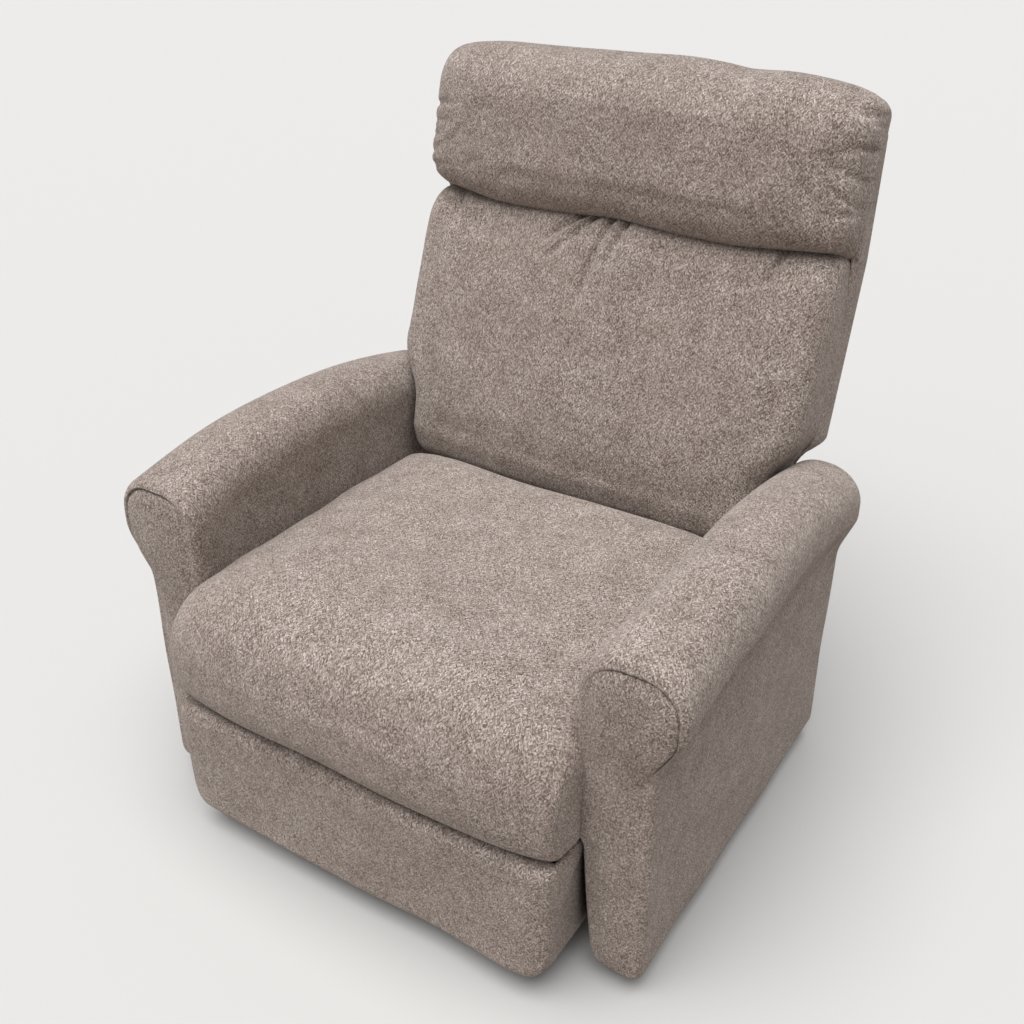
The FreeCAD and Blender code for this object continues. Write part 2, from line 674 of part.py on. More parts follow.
def make_links():
    rear = link_plate([REAR_LINK_PIVOT, ROD_ON_LINK, UPPER_KNEE, KNEE], LAYER_1, LINK_WIDTH, LINK_BOSS)
    rear = rear.cut(pin_hole(LAYER_1, REAR_LINK_PIVOT, RUNNING_CLEARANCE))
    rear = joined([rear] + [stud(LAYER_1, place) for place in (ROD_ON_LINK, UPPER_KNEE, KNEE)])
    save_pair("rear_link", rear)

    front = link_plate([FRONT_LINK_PIVOT, FRONT_LINK_END], LAYER_1, LINK_WIDTH, LINK_BOSS)
    front = front.cut(pin_hole(LAYER_1, FRONT_LINK_PIVOT, RUNNING_CLEARANCE))
    save_pair("front_link", joined([front, stud(LAYER_1, FRONT_LINK_END)]))

    lower = link_plate([FRONT_LINK_END, KNEE, FOOTREST_PIVOT, FRONT_LINK_END], LAYER_2,
                       SLIM_LINK_WIDTH, SLIM_LINK_BOSS)
    for place, clearance in ((KNEE, RUNNING_CLEARANCE), (FOOTREST_PIVOT, RUNNING_CLEARANCE),
                             (FRONT_LINK_END, OPEN_PIVOT_CLEARANCE)):
        lower = lower.cut(pin_hole(LAYER_2, place, clearance))
    save_pair("lower_link", lower)

    upper = link_plate([UPPER_KNEE, FOOTREST_UPPER_PIVOT], LAYER_2, SLIM_LINK_WIDTH, SLIM_LINK_BOSS)
    upper = upper.cut(pin_hole(LAYER_2, UPPER_KNEE, RUNNING_CLEARANCE))
    upper = upper.cut(pin_hole(LAYER_2, FOOTREST_UPPER_PIVOT, OPEN_PIVOT_CLEARANCE))
    save("upper_links", Part.makeCompound([upper, mirrored(upper)]))

    rod = link_plate([ROD_ON_CRANK, ROD_ON_LINK], LAYER_2, SLIM_LINK_WIDTH, SLIM_LINK_BOSS)
    rod = rod.cut(pin_hole(LAYER_2, ROD_ON_CRANK, RUNNING_CLEARANCE))
    rod = rod.cut(pin_hole(LAYER_2, ROD_ON_LINK, OPEN_PIVOT_CLEARANCE))
    save("drive_rods", Part.makeCompound([rod, mirrored(rod)]))


def footrest_bracket():
    """Hinge bracket: a cheek with both pivot studs and a flange on the back of the board."""
    reach = LINK_BOSS / 2
    low = FOOTREST_PIVOT[1] - reach * 2.5
    high = FOOTREST_UPPER_PIVOT[1] + reach * 0.4
    seat = BOARD_REAR
    outline = [(seat, low), (FOOTREST_PIVOT[0], FOOTREST_PIVOT[1] - reach),
               (FOOTREST_PIVOT[0], FOOTREST_PIVOT[1] + reach),
               (FOOTREST_UPPER_PIVOT[0], high), (seat, high)]
    cheek = plate_x(outline, LAYER_1, STEEL)
    bosses = [rod_x(reach, LAYER_1, LAYER_1 + STEEL, FOOTREST_PIVOT)]
    flange = block(
        (LAYER_1 + STEEL - FLANGE_WIDTH, seat, low), (LAYER_1 + STEEL, seat + FLANGE_THICKNESS, high))
    studs = [stud(LAYER_1, place) for place in (FOOTREST_PIVOT, FOOTREST_UPPER_PIVOT)]
    return joined([cheek, flange] + bosses + studs)


def rounded_rectangle(y, half_width, low, high, corner):
    """Front-view rectangle with quarter-round corners."""
    a = half_width - corner
    points = [
        (-a, low), (a, low), (half_width, low + corner), (half_width, high - corner),
        (a, high), (-a, high), (-half_width, high - corner), (-half_width, low + corner),
    ]
    p = [V(x, y, z) for x, z in points]
    sag = corner * (1 - math.cos(math.radians(45)))
    out = (V(1, 0, -1), V(1, 0, 1), V(-1, 0, 1), V(-1, 0, -1))
    edges = []
    for side in range(4):
        edges.append(line(p[2 * side], p[2 * side + 1]))
        edges.append(bowed(p[2 * side + 1], p[(2 * side + 2) % 8], sag, out[side]))
    return Part.Wire(edges)


def footrest_wings():
    """Boxed sides of the footrest pad, running back past the board on both sides of the mechanism."""
    outline = rounded_rectangle(
        BOARD_REAR, FOOTREST_HALF_WIDTH - FOOTREST_WING_SETBACK, FOOTREST_BOTTOM + FOOTREST_WING_SETBACK,
        FOOTREST_TOP - FOOTREST_WING_SETBACK, FOOTREST_CORNER - FOOTREST_WING_SETBACK)
    whole = Part.Face(outline).extrude(V(0, FOOTREST_WING_DEPTH, 0))
    inner = FOOTREST_HALF_WIDTH - FOOTREST_WING_THICKNESS
    hollow = block(
        (-inner, BOARD_REAR, FOOTREST_BOTTOM), (inner, BOARD_REAR + FOOTREST_WING_DEPTH, FOOTREST_TOP))
    return whole.cut(hollow).Solids


def make_footrest():
    border = FOOTREST_BOARD_BORDER
    outline = rounded_rectangle(
        BOARD_FRONT, FOOTREST_HALF_WIDTH - border, FOOTREST_BOTTOM + border, FOOTREST_TOP - border,
        FOOTREST_CORNER - border)
    board = Part.Face(outline).extrude(V(0, FOOTREST_BOARD_THICKNESS, 0))
    save("footrest_board", board)
    depth = FOOTREST_PAD_THICKNESS + FOOTREST_BOARD_THICKNESS
    wires = []
    for share, shrink in ((0.0, 0.25), (0.2, 0.0), (0.55, 0.0), (0.8, 0.3), (1.0, 1.0)):
        cut = shrink * FOOTREST_CROWN_INSET
        wires.append(rounded_rectangle(
            BOARD_REAR - share * depth, FOOTREST_HALF_WIDTH - cut, FOOTREST_BOTTOM + cut, FOOTREST_TOP - cut,
            FOOTREST_CORNER - cut / 2))
    save("footrest_pad", joined([loft(wires, True).cut(board)] + footrest_wings()))
    save_pair("footrest_bracket", footrest_bracket())


# Drive tube and release lever


def drive_square(x_from, x_to, side):
    half = side / 2
    y, z = DRIVE_PIVOT
    return block((x_from, y - half, z - half), (x_to, y + half, z + half))


def lever_outer_x():
    return ARM_OUTER_FOOT + LEVER_SIDE_CLEARANCE + LEVER_THICKNESS


def make_drive():
    left_end = PLATE_OUTER_X + LEVER_SIDE_CLEARANCE
    right_end = lever_outer_x()
    tube = drive_square(-right_end, left_end, DRIVE_TUBE)
    bore = drive_square(-right_end, left_end, DRIVE_TUBE - 2 * DRIVE_TUBE_WALL)
    save("drive_tube", tube.cut(bore))
    crank = link_plate([DRIVE_PIVOT, ROD_ON_CRANK], LAYER_1, LINK_WIDTH, LINK_BOSS)
    hub = rod_x(DRIVE_HUB_RADIUS, LAYER_1, LAYER_1 + STEEL, DRIVE_PIVOT)
    crank = joined([crank, hub, stud(LAYER_1, ROD_ON_CRANK)])
    crank = crank.cut(drive_square(0.0, PLATE_INNER_X, DRIVE_TUBE))
    save_pair("crank", crank)
    bush = rod_x(DRIVE_BUSH_RADIUS, PLATE_INNER_X - LAYER_GAP, left_end, DRIVE_PIVOT)
    bush = bush.cut(drive_square(0.0, left_end, DRIVE_TUBE))
    save("drive_bushes", Part.makeCompound([bush, mirrored(bush)]))
    make_lever(right_end)


def lever_corners(distance, width):
    """Two side-view corners across the lever at a distance from its hub."""
    middle = add(DRIVE_PIVOT, polar(distance, LEVER_REST_ANGLE))
    half = polar(width / 2, LEVER_REST_ANGLE + 90.0)
    return add(middle, half), (middle[0] - half[0], middle[1] - half[1])


def make_lever(right_end):
    inner = right_end - LEVER_THICKNESS
    root_high, root_low = lever_corners(0.0, LEVER_ROOT_WIDTH)
    tip_high, tip_low = lever_corners(LEVER_LENGTH, LEVER_TIP_WIDTH)
    arm = plate_x([root_high, tip_high, tip_low, root_low], inner, LEVER_THICKNESS)
    tip = rod_x(LEVER_TIP_WIDTH / 2, inner, right_end, add(DRIVE_PIVOT, polar(LEVER_LENGTH, LEVER_REST_ANGLE)))
    hub = rod_x(DRIVE_HUB_RADIUS, inner, right_end, DRIVE_PIVOT)
    lever = joined([arm, tip, hub]).cut(drive_square(0.0, right_end, DRIVE_TUBE))
    save("release_lever", mirrored(lever))
    save("lever_grip", mirrored(lever_grip(inner).cut(lever)))


def lever_grip(inner):
    """Moulded grip over the lever's end: rounded sections that swell towards the hand."""
    wires = []
    start = LEVER_LENGTH + LEVER_TIP_WIDTH / 2 - GRIP_LENGTH
    low_x = inner - REST_CLEARANCE
    for share, scale in ((0.0, 0.8), (0.35, 1.0), (0.75, 1.0), (1.0, 0.85)):
        high, low = lever_corners(start + share * (GRIP_LENGTH + LEVER_TIP_WIDTH / 2), GRIP_WIDTH * scale)
        high_x = low_x + GRIP_THICKNESS * scale
        a = V(low_x, low[0], low[1])
        b = V(low_x, high[0], high[1])
        c = V(high_x, high[0], high[1])
        d = V(high_x, low[0], low[1])
        across = b - a
        edges = [
            line(a, b), bowed(b, c, GRIP_BULGE, across), bowed(c, d, GRIP_BULGE, V(1, 0, 0)),
            bowed(d, a, GRIP_BULGE, across * -1)]
        wires.append(Part.Wire(edges))
    return loft(wires)


# Recline linkage


def make_recline_links():
    rocker = link_plate([GUIDE_PIN, ROCKER_PIVOT, ROCKER_ROD_PIN], LAYER_1, LINK_WIDTH, LINK_BOSS)
    rocker = rocker.cut(pin_hole(LAYER_1, ROCKER_PIVOT, RUNNING_CLEARANCE))
    guide_head = LAYER_3 - AXIAL_CLEARANCE
    guide = rod_x(PIN_RADIUS, guide_head - PIN_HEAD_THICKNESS, LAYER_1, GUIDE_PIN)
    head = rod_x(PIN_HEAD_RADIUS, guide_head - PIN_HEAD_THICKNESS, guide_head, GUIDE_PIN)
    save_pair("recline_rocker", joined([rocker, stud(LAYER_1, ROCKER_ROD_PIN), guide, head]))
    rod = link_plate([BACK_ROD_PIN, ROCKER_ROD_PIN], LAYER_2, SLIM_LINK_WIDTH, SLIM_LINK_BOSS)
    rod = rod.cut(pin_hole(LAYER_2, BACK_ROD_PIN, RUNNING_CLEARANCE))
    rod = rod.cut(pin_hole(LAYER_2, ROCKER_ROD_PIN, OPEN_PIVOT_CLEARANCE))
    save_pair("recline_rod", rod)


def make_back_brackets():
    """Recline bracket: bolted along the post, hinged at its foot, with an arm for the rod."""
    width = BACK_FRAME_REAR - BACK_FRAME_FRONT
    upright = block(
        (LAYER_1, BACK_FRAME_FRONT + width * 0.1, BACK_POST_FOOT),
        (LAYER_1 + STEEL, BACK_FRAME_REAR - width * 0.1, BACK_POST_FOOT + width * 3))
    upright = leaned(upright)
    foot = link_plate([BACK_PIVOT, BACK_ROD_PIN], LAYER_1, LINK_WIDTH, LINK_BOSS)
    knee = bar_between(BACK_PIVOT, add(BACK_PIVOT, polar(width, 90.0 - BACK_LEAN * 2)), LINK_BOSS, LAYER_1)
    bracket = joined([upright, foot, knee])
    bracket = bracket.cut(pin_hole(LAYER_1, BACK_PIVOT, RUNNING_CLEARANCE))
    save_pair("back_bracket", joined([bracket, stud(LAYER_1, BACK_ROD_PIN)]))


# Back


def back_half_width(u, flare_foot, flare_rise):
    """Half width of the back at a height along it: narrow between the arms, flaring above them in an
    S-curve, and tapering behind the headrest."""
    share = min(1.0, max(0.0, (u - flare_foot) / flare_rise))
    taper = max(0.0, (u - BACK_CUSHION_TOP) / (BACK_FRAME_TOP - BACK_CUSHION_TOP))
    return BACK_ARM_HALF_WIDTH + BACK_FLARE * share * share * (3 - 2 * share) - BACK_TOP_TAPER * taper


def rectangle_at(u, x0, x1, w0, w1):
    points = [V(x0, w0, u), V(x1, w0, u), V(x1, w1, u), V(x0, w1, u)]
    points.append(points[0])
    return Part.makePolygon(points)


def make_back_frame():
    outer = LAYER_1
    inner = outer - BACK_POST_WIDTH
    post = block((inner, BACK_FRAME_FRONT, BACK_POST_FOOT), (outer, BACK_FRAME_REAR, BACK_FRAME_TOP))
    save_pair("back_post", leaned(post))
    front = BACK_FRAME_FRONT
    rail_feet = {"back_bottom_rail": BACK_RAIL_FOOT, "back_top_rail": BACK_FRAME_TOP - BACK_RAIL_HEIGHT}
    for name, low in rail_feet.items():
        rail = block((-inner, front, low), (inner, front + BACK_RAIL_THICKNESS, low + BACK_RAIL_HEIGHT))
        save(name, leaned(rail))
    reach = inner - WEBBING_EDGE
    straps = []
    for number in range(WEBBING_COUNT):
        x = number * 2 * reach / (WEBBING_COUNT - 1) - reach
        straps.append(leaned(block(
            (x - WEBBING_WIDTH / 2, front - WEBBING_THICKNESS, BACK_RAIL_FOOT),
            (x + WEBBING_WIDTH / 2, front, BACK_FRAME_TOP))))
    save("back_webbing", Part.makeCompound(straps))


def panel_half_width(u):
    return back_half_width(u, BACK_PANEL_FLARE_FOOT, BACK_FLARE_RISE)


def make_back_covers():
    stations = (
        BACK_PANEL_FOOT, BACK_PANEL_FLARE_FOOT, BACK_PANEL_FLARE_FOOT + BACK_FLARE_RISE / 2,
        BACK_PANEL_FLARE_FOOT + BACK_FLARE_RISE, BACK_CUSHION_TOP, BACK_FRAME_TOP)
    thick = BACK_PANEL_THICKNESS
    wires = []
    for u in stations:
        outer = panel_half_width(u)
        wires.append(rectangle_at(u, outer - thick, outer, CUSHION_SEAT_W, BACK_FRAME_REAR))
    save_pair("back_side_panel", leaned(loft(wires, True)))
    layers = []
    for share, inset in ((0.0, 0.0), (0.5, 0.0), (1.0, BACK_PANEL_INSET)):
        w = BACK_FRAME_REAR + share * thick
        right = [V(panel_half_width(u) - inset, w, u) for u in stations]
        right[0].z += inset
        right[-1].z -= inset
        left = [V(-p.x, p.y, p.z) for p in reversed(right)]
        layers.append(Part.makePolygon(right + left + [right[0]]))
    save("back_rear_panel", leaned(loft(layers, True)))


def back_cushion_section(u, depth, shrink):
    """Plan outline of the back cushion at one height: flat back, straight sides, crowned front."""
    half = back_half_width(u, BACK_CUSHION_FLARE_FOOT, BACK_CUSHION_FLARE_RISE) - shrink
    front = CUSHION_SEAT_W - depth
    side_front = front + BACK_CUSHION_CROWN
    places = [
        (-half, CUSHION_SEAT_W), (half, CUSHION_SEAT_W), (half, side_front), (0.0, front), (-half, side_front)]
    radii = [
        BACK_CUSHION_SEAM_ROUND, BACK_CUSHION_SEAM_ROUND, BACK_CUSHION_ROUND, BACK_CUSHION_FRONT_ROUND,
        BACK_CUSHION_ROUND]
    return rounded_wire([V(x, w, u) for x, w in places], radii)


def make_back_cushion():
    wires = [back_cushion_section(u, depth, shrink) for u, depth, shrink in BACK_CUSHION_PROFILE]
    save("back_cushion", leaned(loft(wires)))


def headrest_section(share):
    """Side outline of the headrest pillow at a share of its half width: full front, rounded top,
    folded over the top rail."""
    inset = HEADREST_END_DRAW_IN * (1 - swell(share))
    foot = BACK_CUSHION_TOP + REST_CLEARANCE
    top = HEADREST_TOP - inset
    front = HEADREST_FRONT_W + inset
    rear = HEADREST_REAR_W - HEADREST_REAR_DRAW_IN * (1 - swell(share))
    sill = BACK_FRAME_TOP + REST_CLEARANCE
    seat = CUSHION_SEAT_W - REST_CLEARANCE
    places = [
        (seat, foot), (seat, sill), (rear, sill), (rear, top - HEADREST_REAR_FALL),
        (front, top), (front, foot + inset / 2)]
    scale = 1 - inset / (HEADREST_TOP - sill)
    radii = [
        HEADREST_SEAM_ROUND, HEADREST_SEAM_ROUND, HEADREST_SEAM_ROUND, HEADREST_REAR_ROUND * scale,
        HEADREST_FRONT_ROUND * scale, HEADREST_FOOT_ROUND * scale]
    return rounded_wire([V(share * HEADREST_HALF_WIDTH, w, u) for w, u in places], radii)


def make_headrest():
    save("headrest_cushion", leaned(loft([headrest_section(share) for share in CUSHION_STATIONS])))


# Floor base


def track_rail():
    """Channel open to the outside, in which two rollers run."""
    outer = block(
        (TRACK_INNER_X, TRACK_FRONT, FOOT_HEIGHT),
        (TRACK_INNER_X + TRACK_WIDTH, TRACK_REAR, TRACK_TOP))
    groove = block(
        (TRACK_INNER_X + TRACK_WALL, TRACK_FRONT, FOOT_HEIGHT + TRACK_WALL),
        (TRACK_INNER_X + TRACK_WIDTH, TRACK_REAR, TRACK_TOP - TRACK_WALL))
    rail = outer.cut(groove)
    for x, y in foot_places():
        rail = rail.cut(Part.makeCylinder(FOOT_STEM_RADIUS, TRACK_WALL, V(x, y, FOOT_HEIGHT)))
    for bolt in stanchion_bolts():
        rail = rail.cut(bolt)
    return rail


def foot_places():
    x = TRACK_INNER_X + TRACK_WIDTH / 2
    return [(x, TRACK_FRONT + FOOT_END_MARGIN), (x, TRACK_REAR - FOOT_END_MARGIN)]


def glide_foot(x, y):
    """Turned glide with a chamfered sole and a stem pressed into the track."""
    lip = FOOT_RADIUS * 0.15
    sole = Part.makeCone(FOOT_RADIUS - lip, FOOT_RADIUS, lip, V(x, y, 0))
    body = Part.makeCylinder(FOOT_RADIUS, FOOT_HEIGHT - lip, V(x, y, lip))
    stem = Part.makeCylinder(FOOT_STEM_RADIUS, TRACK_WALL, V(x, y, FOOT_HEIGHT))
    return joined([sole, body, stem])


def stanchion_bolts():
    x = TRACK_INNER_X + TRACK_WIDTH / 2
    reach = STANCHION_FOOT_LENGTH / 2 - BOLT_HEAD_RADIUS * 1.5
    bolts = []
    for y in (GUIDE_PIN[0] - reach, GUIDE_PIN[0] + reach):
        low = TRACK_TOP - TRACK_WALL
        shank = Part.makeCylinder(BOLT_RADIUS, TRACK_WALL + STEEL, V(x, y, low))
        head = Part.makeCylinder(BOLT_HEAD_RADIUS, BOLT_HEAD_HEIGHT, V(x, y, TRACK_TOP + STEEL))
        bolts.append(joined([shank, head]))
    return bolts


def guide_stanchion():
    """Bracket on the track whose upright slot holds the rocker's guide pin."""
    middle = GUIDE_PIN[0]
    slot_half = PIN_RADIUS + GUIDE_SLOT_CLEARANCE
    slot_low = GUIDE_PIN[1]
    slot_high = ROCKER_PIVOT[1] + ROCKER_LENGTH
    top = slot_high + slot_half + STANCHION_TOP_MARGIN
    foot = STANCHION_FOOT_LENGTH / 2
    neck = STANCHION_TOP_WIDTH / 2
    outline = [(middle - foot, TRACK_TOP), (middle + foot, TRACK_TOP), (middle + foot, TRACK_TOP + STEEL * 3),
               (middle + neck, top - neck), (middle + neck, top), (middle - neck, top),
               (middle - neck, top - neck), (middle - foot, TRACK_TOP + STEEL * 3)]
    plate = plate_x(outline, LAYER_3, STEEL)
    shelf = block(
        (TRACK_INNER_X, middle - foot, TRACK_TOP), (LAYER_3 + STEEL, middle + foot, TRACK_TOP + STEEL))
    bracket = joined([plate, shelf])
    for z in (slot_low, slot_high):
        bracket = bracket.cut(rod_x(slot_half, LAYER_3, LAYER_3 + STEEL, (middle, z)))
    slot = block((LAYER_3, middle - slot_half, slot_low), (LAYER_3 + STEEL, middle + slot_half, slot_high))
    bracket = bracket.cut(slot)
    for bolt in stanchion_bolts():
        bracket = bracket.cut(bolt)
    return bracket


def make_base():
    save_pair("track_rail", track_rail())
    save_pair("guide_stanchion", guide_stanchion())
    feet = [glide_foot(x, y) for x, y in foot_places()]
    feet += [mirrored(foot) for foot in feet]
    save("glide_feet", Part.makeCompound(feet))
    bolts = stanchion_bolts()
    bolts += [mirrored(bolt) for bolt in bolts]
    save("base_bolts", Part.makeCompound(bolts))
    wall = CROSS_TUBE_WALL
    for name, y in (("base_cross_front", CROSS_FRONT_Y), ("base_cross_rear", CROSS_REAR_Y)):
        y0, y1 = y - CROSS_TUBE_DEPTH / 2, y + CROSS_TUBE_DEPTH / 2
        z0, z1 = FOOT_HEIGHT, FOOT_HEIGHT + CROSS_TUBE_HEIGHT
        tube = block((-TRACK_INNER_X, y0, z0), (TRACK_INNER_X, y1, z1))
        bore = block((-TRACK_INNER_X, y0 + wall, z0 + wall), (TRACK_INNER_X, y1 - wall, z1 - wall))
        save(name, tube.cut(bore))


def make_chair():
    os.makedirs("parts", exist_ok=True)
    make_base()
    save_pair("side_plate", side_plate())
    make_rollers()
    make_seat_frame()
    make_seat_springs()
    make_seat_cushion()
    make_arms()
    make_drive()
    make_links()
    make_footrest()
    make_recline_links()
    make_back_brackets()
    make_back_frame()
    make_back_covers()
    make_back_cushion()
    make_headrest()


make_chair()
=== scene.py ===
import json
import math

import bpy
import numpy as np
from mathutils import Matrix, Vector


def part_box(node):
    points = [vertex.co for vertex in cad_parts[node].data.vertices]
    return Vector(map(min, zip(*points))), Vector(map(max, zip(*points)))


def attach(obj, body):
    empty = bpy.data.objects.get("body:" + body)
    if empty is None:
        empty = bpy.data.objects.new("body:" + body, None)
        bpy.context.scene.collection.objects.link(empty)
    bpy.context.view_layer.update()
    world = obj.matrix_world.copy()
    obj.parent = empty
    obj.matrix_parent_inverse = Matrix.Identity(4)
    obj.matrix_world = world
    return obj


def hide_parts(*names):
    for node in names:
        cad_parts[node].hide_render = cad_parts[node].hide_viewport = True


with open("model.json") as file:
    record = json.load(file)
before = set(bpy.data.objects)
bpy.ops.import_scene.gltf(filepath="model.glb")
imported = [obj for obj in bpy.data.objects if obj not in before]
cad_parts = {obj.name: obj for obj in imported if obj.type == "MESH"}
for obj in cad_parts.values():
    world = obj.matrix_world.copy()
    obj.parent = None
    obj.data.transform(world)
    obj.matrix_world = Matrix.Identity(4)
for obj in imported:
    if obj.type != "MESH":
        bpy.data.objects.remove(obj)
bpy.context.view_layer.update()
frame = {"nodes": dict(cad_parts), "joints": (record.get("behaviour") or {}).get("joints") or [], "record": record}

# Sizes are in metres and angles in degrees, unless a comment says otherwise. A pair such as SEAT_TUCK_ENDS
# is where a smooth change starts and stops, and a grid is a pad's rings and the points round each

# The photograph's camera; its lens is in pixels of the square picture
CAMERA_PLACE = (0.832, -1.322, 1.359)
CAMERA_HEADING = 32.61
CAMERA_DIP = 30.80
LENS_PIXELS = 1216.34
PICTURE_PIXELS = 1024.0
SENSOR_MM = 36.0

# Lamps by name: energy, dip from straight down, heading and breadth
LAMPS = {"overhead": (3.65, 12.0, 0.0, 60.0), "front": (0.42, 48.0, -24.0, 55.0)}
SURROUND_LIGHT = 0.28
SURROUND_SEEN = 0.54
FLOOR_REACH = 14.0
FLOOR_LIT = (0.33, 0.29, 0.26)
FLOOR_SEEN = (0.54, 0.535, 0.525)

# Chenille: tufts per metre, how they lean either way in radians, and yarn colours by tone
TUFTS_ACROSS = 980.0
TUFTS_ALONG = 370.0
TUFT_LEAN = 0.55
WOVEN_ROWS = 1150.0
YARN = [
    (0.16, (0.098, 0.072, 0.058)), (0.36, (0.225, 0.177, 0.150)), (0.54, (0.345, 0.285, 0.250)),
    (0.72, (0.465, 0.398, 0.360)), (0.90, (0.720, 0.660, 0.620))]
WARM_YARN = (0.330, 0.250, 0.212)
YARN_ROOTS = (0.085, 0.064, 0.052)
NAP = (0.95, 0.89, 0.84)

# Stuffing: the pads' even mesh, how slack they start, how far they swell, and the air inside
STUFFING_MESH = 0.008
STUFFING_SLACK = 0.001
STUFFING_SWELL = 0.006
STUFFING_PRESSURE = 4.0
STUFFING_FRAMES = 20

# Seat pad
SEAT_PRESS = 0.007
SEAT_CROWN_RISE = 0.001
SEAT_EDGE_DROP = 0.068
SEAT_FRONT_DRAW = 0.030
SEAT_LIP_RISE = 0.002
SEAT_LIP_DEPTH = 0.082
SEAT_LIP_TUCK = 0.013
SEAT_TUCK_ENDS = (0.292, 0.306)
SEAT_DECK = 0.3025
SEAT_REAR_FOOT = 0.158
SEAT_REAR_TOP = 0.094
SEAT_REAR_BOW = 0.045
SEAT_REAR_DROP = 0.014
SEAT_RADII = np.array([0.005, 0.030, 0.100, 0.042, 0.005, 0.005])
SEAT_REST_HEIGHTS = (0.304, 0.316)
SEAT_REST_SIDES = (0.306, 0.312)
SEAT_LIP_FREE = (0.012, 0.002)
SEAT_LUMPS = 0.0018
SEAT_GRID = (120, 240)

# The back's lean at rest about its recline pivot. Its pieces are drawn upright first, with their height
# measured from the pivot and their depth from the plane through it
BACK_LEAN = math.radians(15.0)
BACK_PIVOT = next(j["pos_m"] for j in frame["joints"] if j["name"] == "back_recline")
BACK_HALF_WIDTH = 0.309
BACK_FLARE = 0.041

# Back pad: height, depth and narrowing at each level
BACK_PAD_LEVELS = [
    (0.024, 0.096, 0.012), (0.030, 0.114, 0.007), (0.042, 0.130, 0.003), (0.075, 0.146, 0.0),
    (0.130, 0.150, 0.0), (0.180, 0.146, 0.0), (0.230, 0.139, 0.0), (0.300, 0.130, 0.0), (0.380, 0.118, 0.0),
    (0.430, 0.109, 0.001), (0.456, 0.098, 0.004), (0.468, 0.084, 0.008), (0.476, 0.060, 0.014)]
BACK_PAD_FOOT_RINGS = [0.0240, 0.0252, 0.0272]
BACK_PAD_TOP_RINGS = [0.471, 0.4742, 0.476]
BACK_PAD_RUN = (0.030, 0.468)
BACK_PAD_FLARE_FOOT = 0.125
BACK_PAD_FLARE_RISE = 0.100
BACK_PAD_SEAT = -0.008
BACK_PAD_CROWN = 0.026
BACK_PAD_RADII = (0.004, 0.004, 0.042, 2.4, 0.042)
BACK_PAD_REST = (-0.036, -0.018)
BACK_PAD_FACE = (0.05, 0.09)
BACK_PAD_LUMPS = 0.0018
BACK_PAD_GRID = (84, 250)
PUCKERS = [
    ((-0.022, 0.482), (-0.092, 0.392)), ((-0.040, 0.482), (-0.112, 0.415)),
    ((-0.004, 0.482), (-0.026, 0.330)), ((0.022, 0.482), (0.012, 0.400)),
    ((0.270, 0.482), (0.250, 0.410)), ((-0.290, 0.482), (-0.275, 0.420))]
PUCKER_WIDTH = 0.0055
PUCKER_DEPTH = 0.013

# Headrest pillow
HEAD_HALF_WIDTH = 0.355
HEAD_FOOT = 0.4635
HEAD_TOP = 0.712
HEAD_SILL = 0.6405
HEAD_SEAT = -0.0125
HEAD_FRONT = -0.127
HEAD_REAR = 0.0524
HEAD_FRONT_DRAW = 0.092
HEAD_REAR_DRAW = 0.018
HEAD_TOP_DRAW = 0.052
HEAD_HEM_DRAW = 0.080
HEAD_HEM_SAG = 0.006
HEAD_WAVE = 0.003
HEAD_CREST_WAVES = 11.0
HEAD_HEM_WAVES = 17.0
HEAD_HEM_SHIFT = 0.8
HEAD_DIP = 0.008
HEAD_DIP_PLACE = 0.15
HEAD_DIP_WIDTH = 0.045
HEAD_REAR_DROP = 0.016
HEAD_REAR_NARROWING = 0.05
HEAD_EDGE = 0.0008
HEAD_RADII = (0.050, 0.085, 0.050)
HEAD_RADII_DRAW = 0.75
HEAD_FOLD = (-0.02, 0.03)
HEAD_FACE = (0.02, 0.06)
HEAD_LUMPS = 0.0022
HEAD_GRID = (130, 240)
HEAD_REST_DEPTHS = (-0.024, -0.014)
HEAD_REST_HEIGHTS = (0.640, 0.646)
GATHERS = 18
GATHER_WIDTH = 0.0045
GATHER_DEPTH = 0.0028
GATHER_START = 0.354
GATHER_REACH = (0.27, 0.33)
GATHER_HEIGHTS = (0.49, 0.69)
GATHER_TURN = 0.012

# Arm covers: the ridge's places along the arm and heights, then the front view and the two ends
ARM_RIDGE = np.polyfit((-0.363, -0.150, 0.263), (0.529, 0.556, 0.508), 2)
ARM_FOOT = 0.0272
ARM_INNER = 0.313
ARM_INNER_TAPER = 0.021
ARM_CHEEK = 0.009
ARM_CHEEK_STEP = 0.003
ARM_CHEEK_FOOT = (0.229, 0.246)
ARM_CHEEK_RUN = (0.24, 0.33)
ARM_OUTER = 0.412
ARM_ROLL = 0.446
ARM_ROLL_TAPER = 0.012
ARM_ROLL_RUN = (-0.25, 0.20)
ARM_ROLL_DEPTH = 0.082
ARM_ROLL_FOOT = 0.140
ARM_RADII = np.array([0.030, 0.016, 0.016, 0.058, 0.056, 0.046, 0.075, 0.020])
ARM_RADII_INSET = np.array([1, 0, 0, 1, 1, 0, 0, 1])
ARM_LEAST_RADIUS = 0.002
ARM_REAR = 0.263
ARM_FRONT = -0.348
ARM_REAR_ROUND = 0.020
ARM_FRONT_TURN = 0.013
ARM_FRONT_INSET = 0.011
ARM_FACING_DOME = 0.0060
ARM_DOME_INSETS = (0.011, 0.034)
ARM_SEAM_DEPTH = 0.0045
ARM_SEAM_HEIGHTS = (0.365, 0.415)
ARM_SEAM_PLACES = (0.325, 0.350)
ARM_LUMPS = 0.0014
ARM_GRID = (96, 270)
ARM_TURN_RINGS = 10
ARM_RING_GAP = 0.006
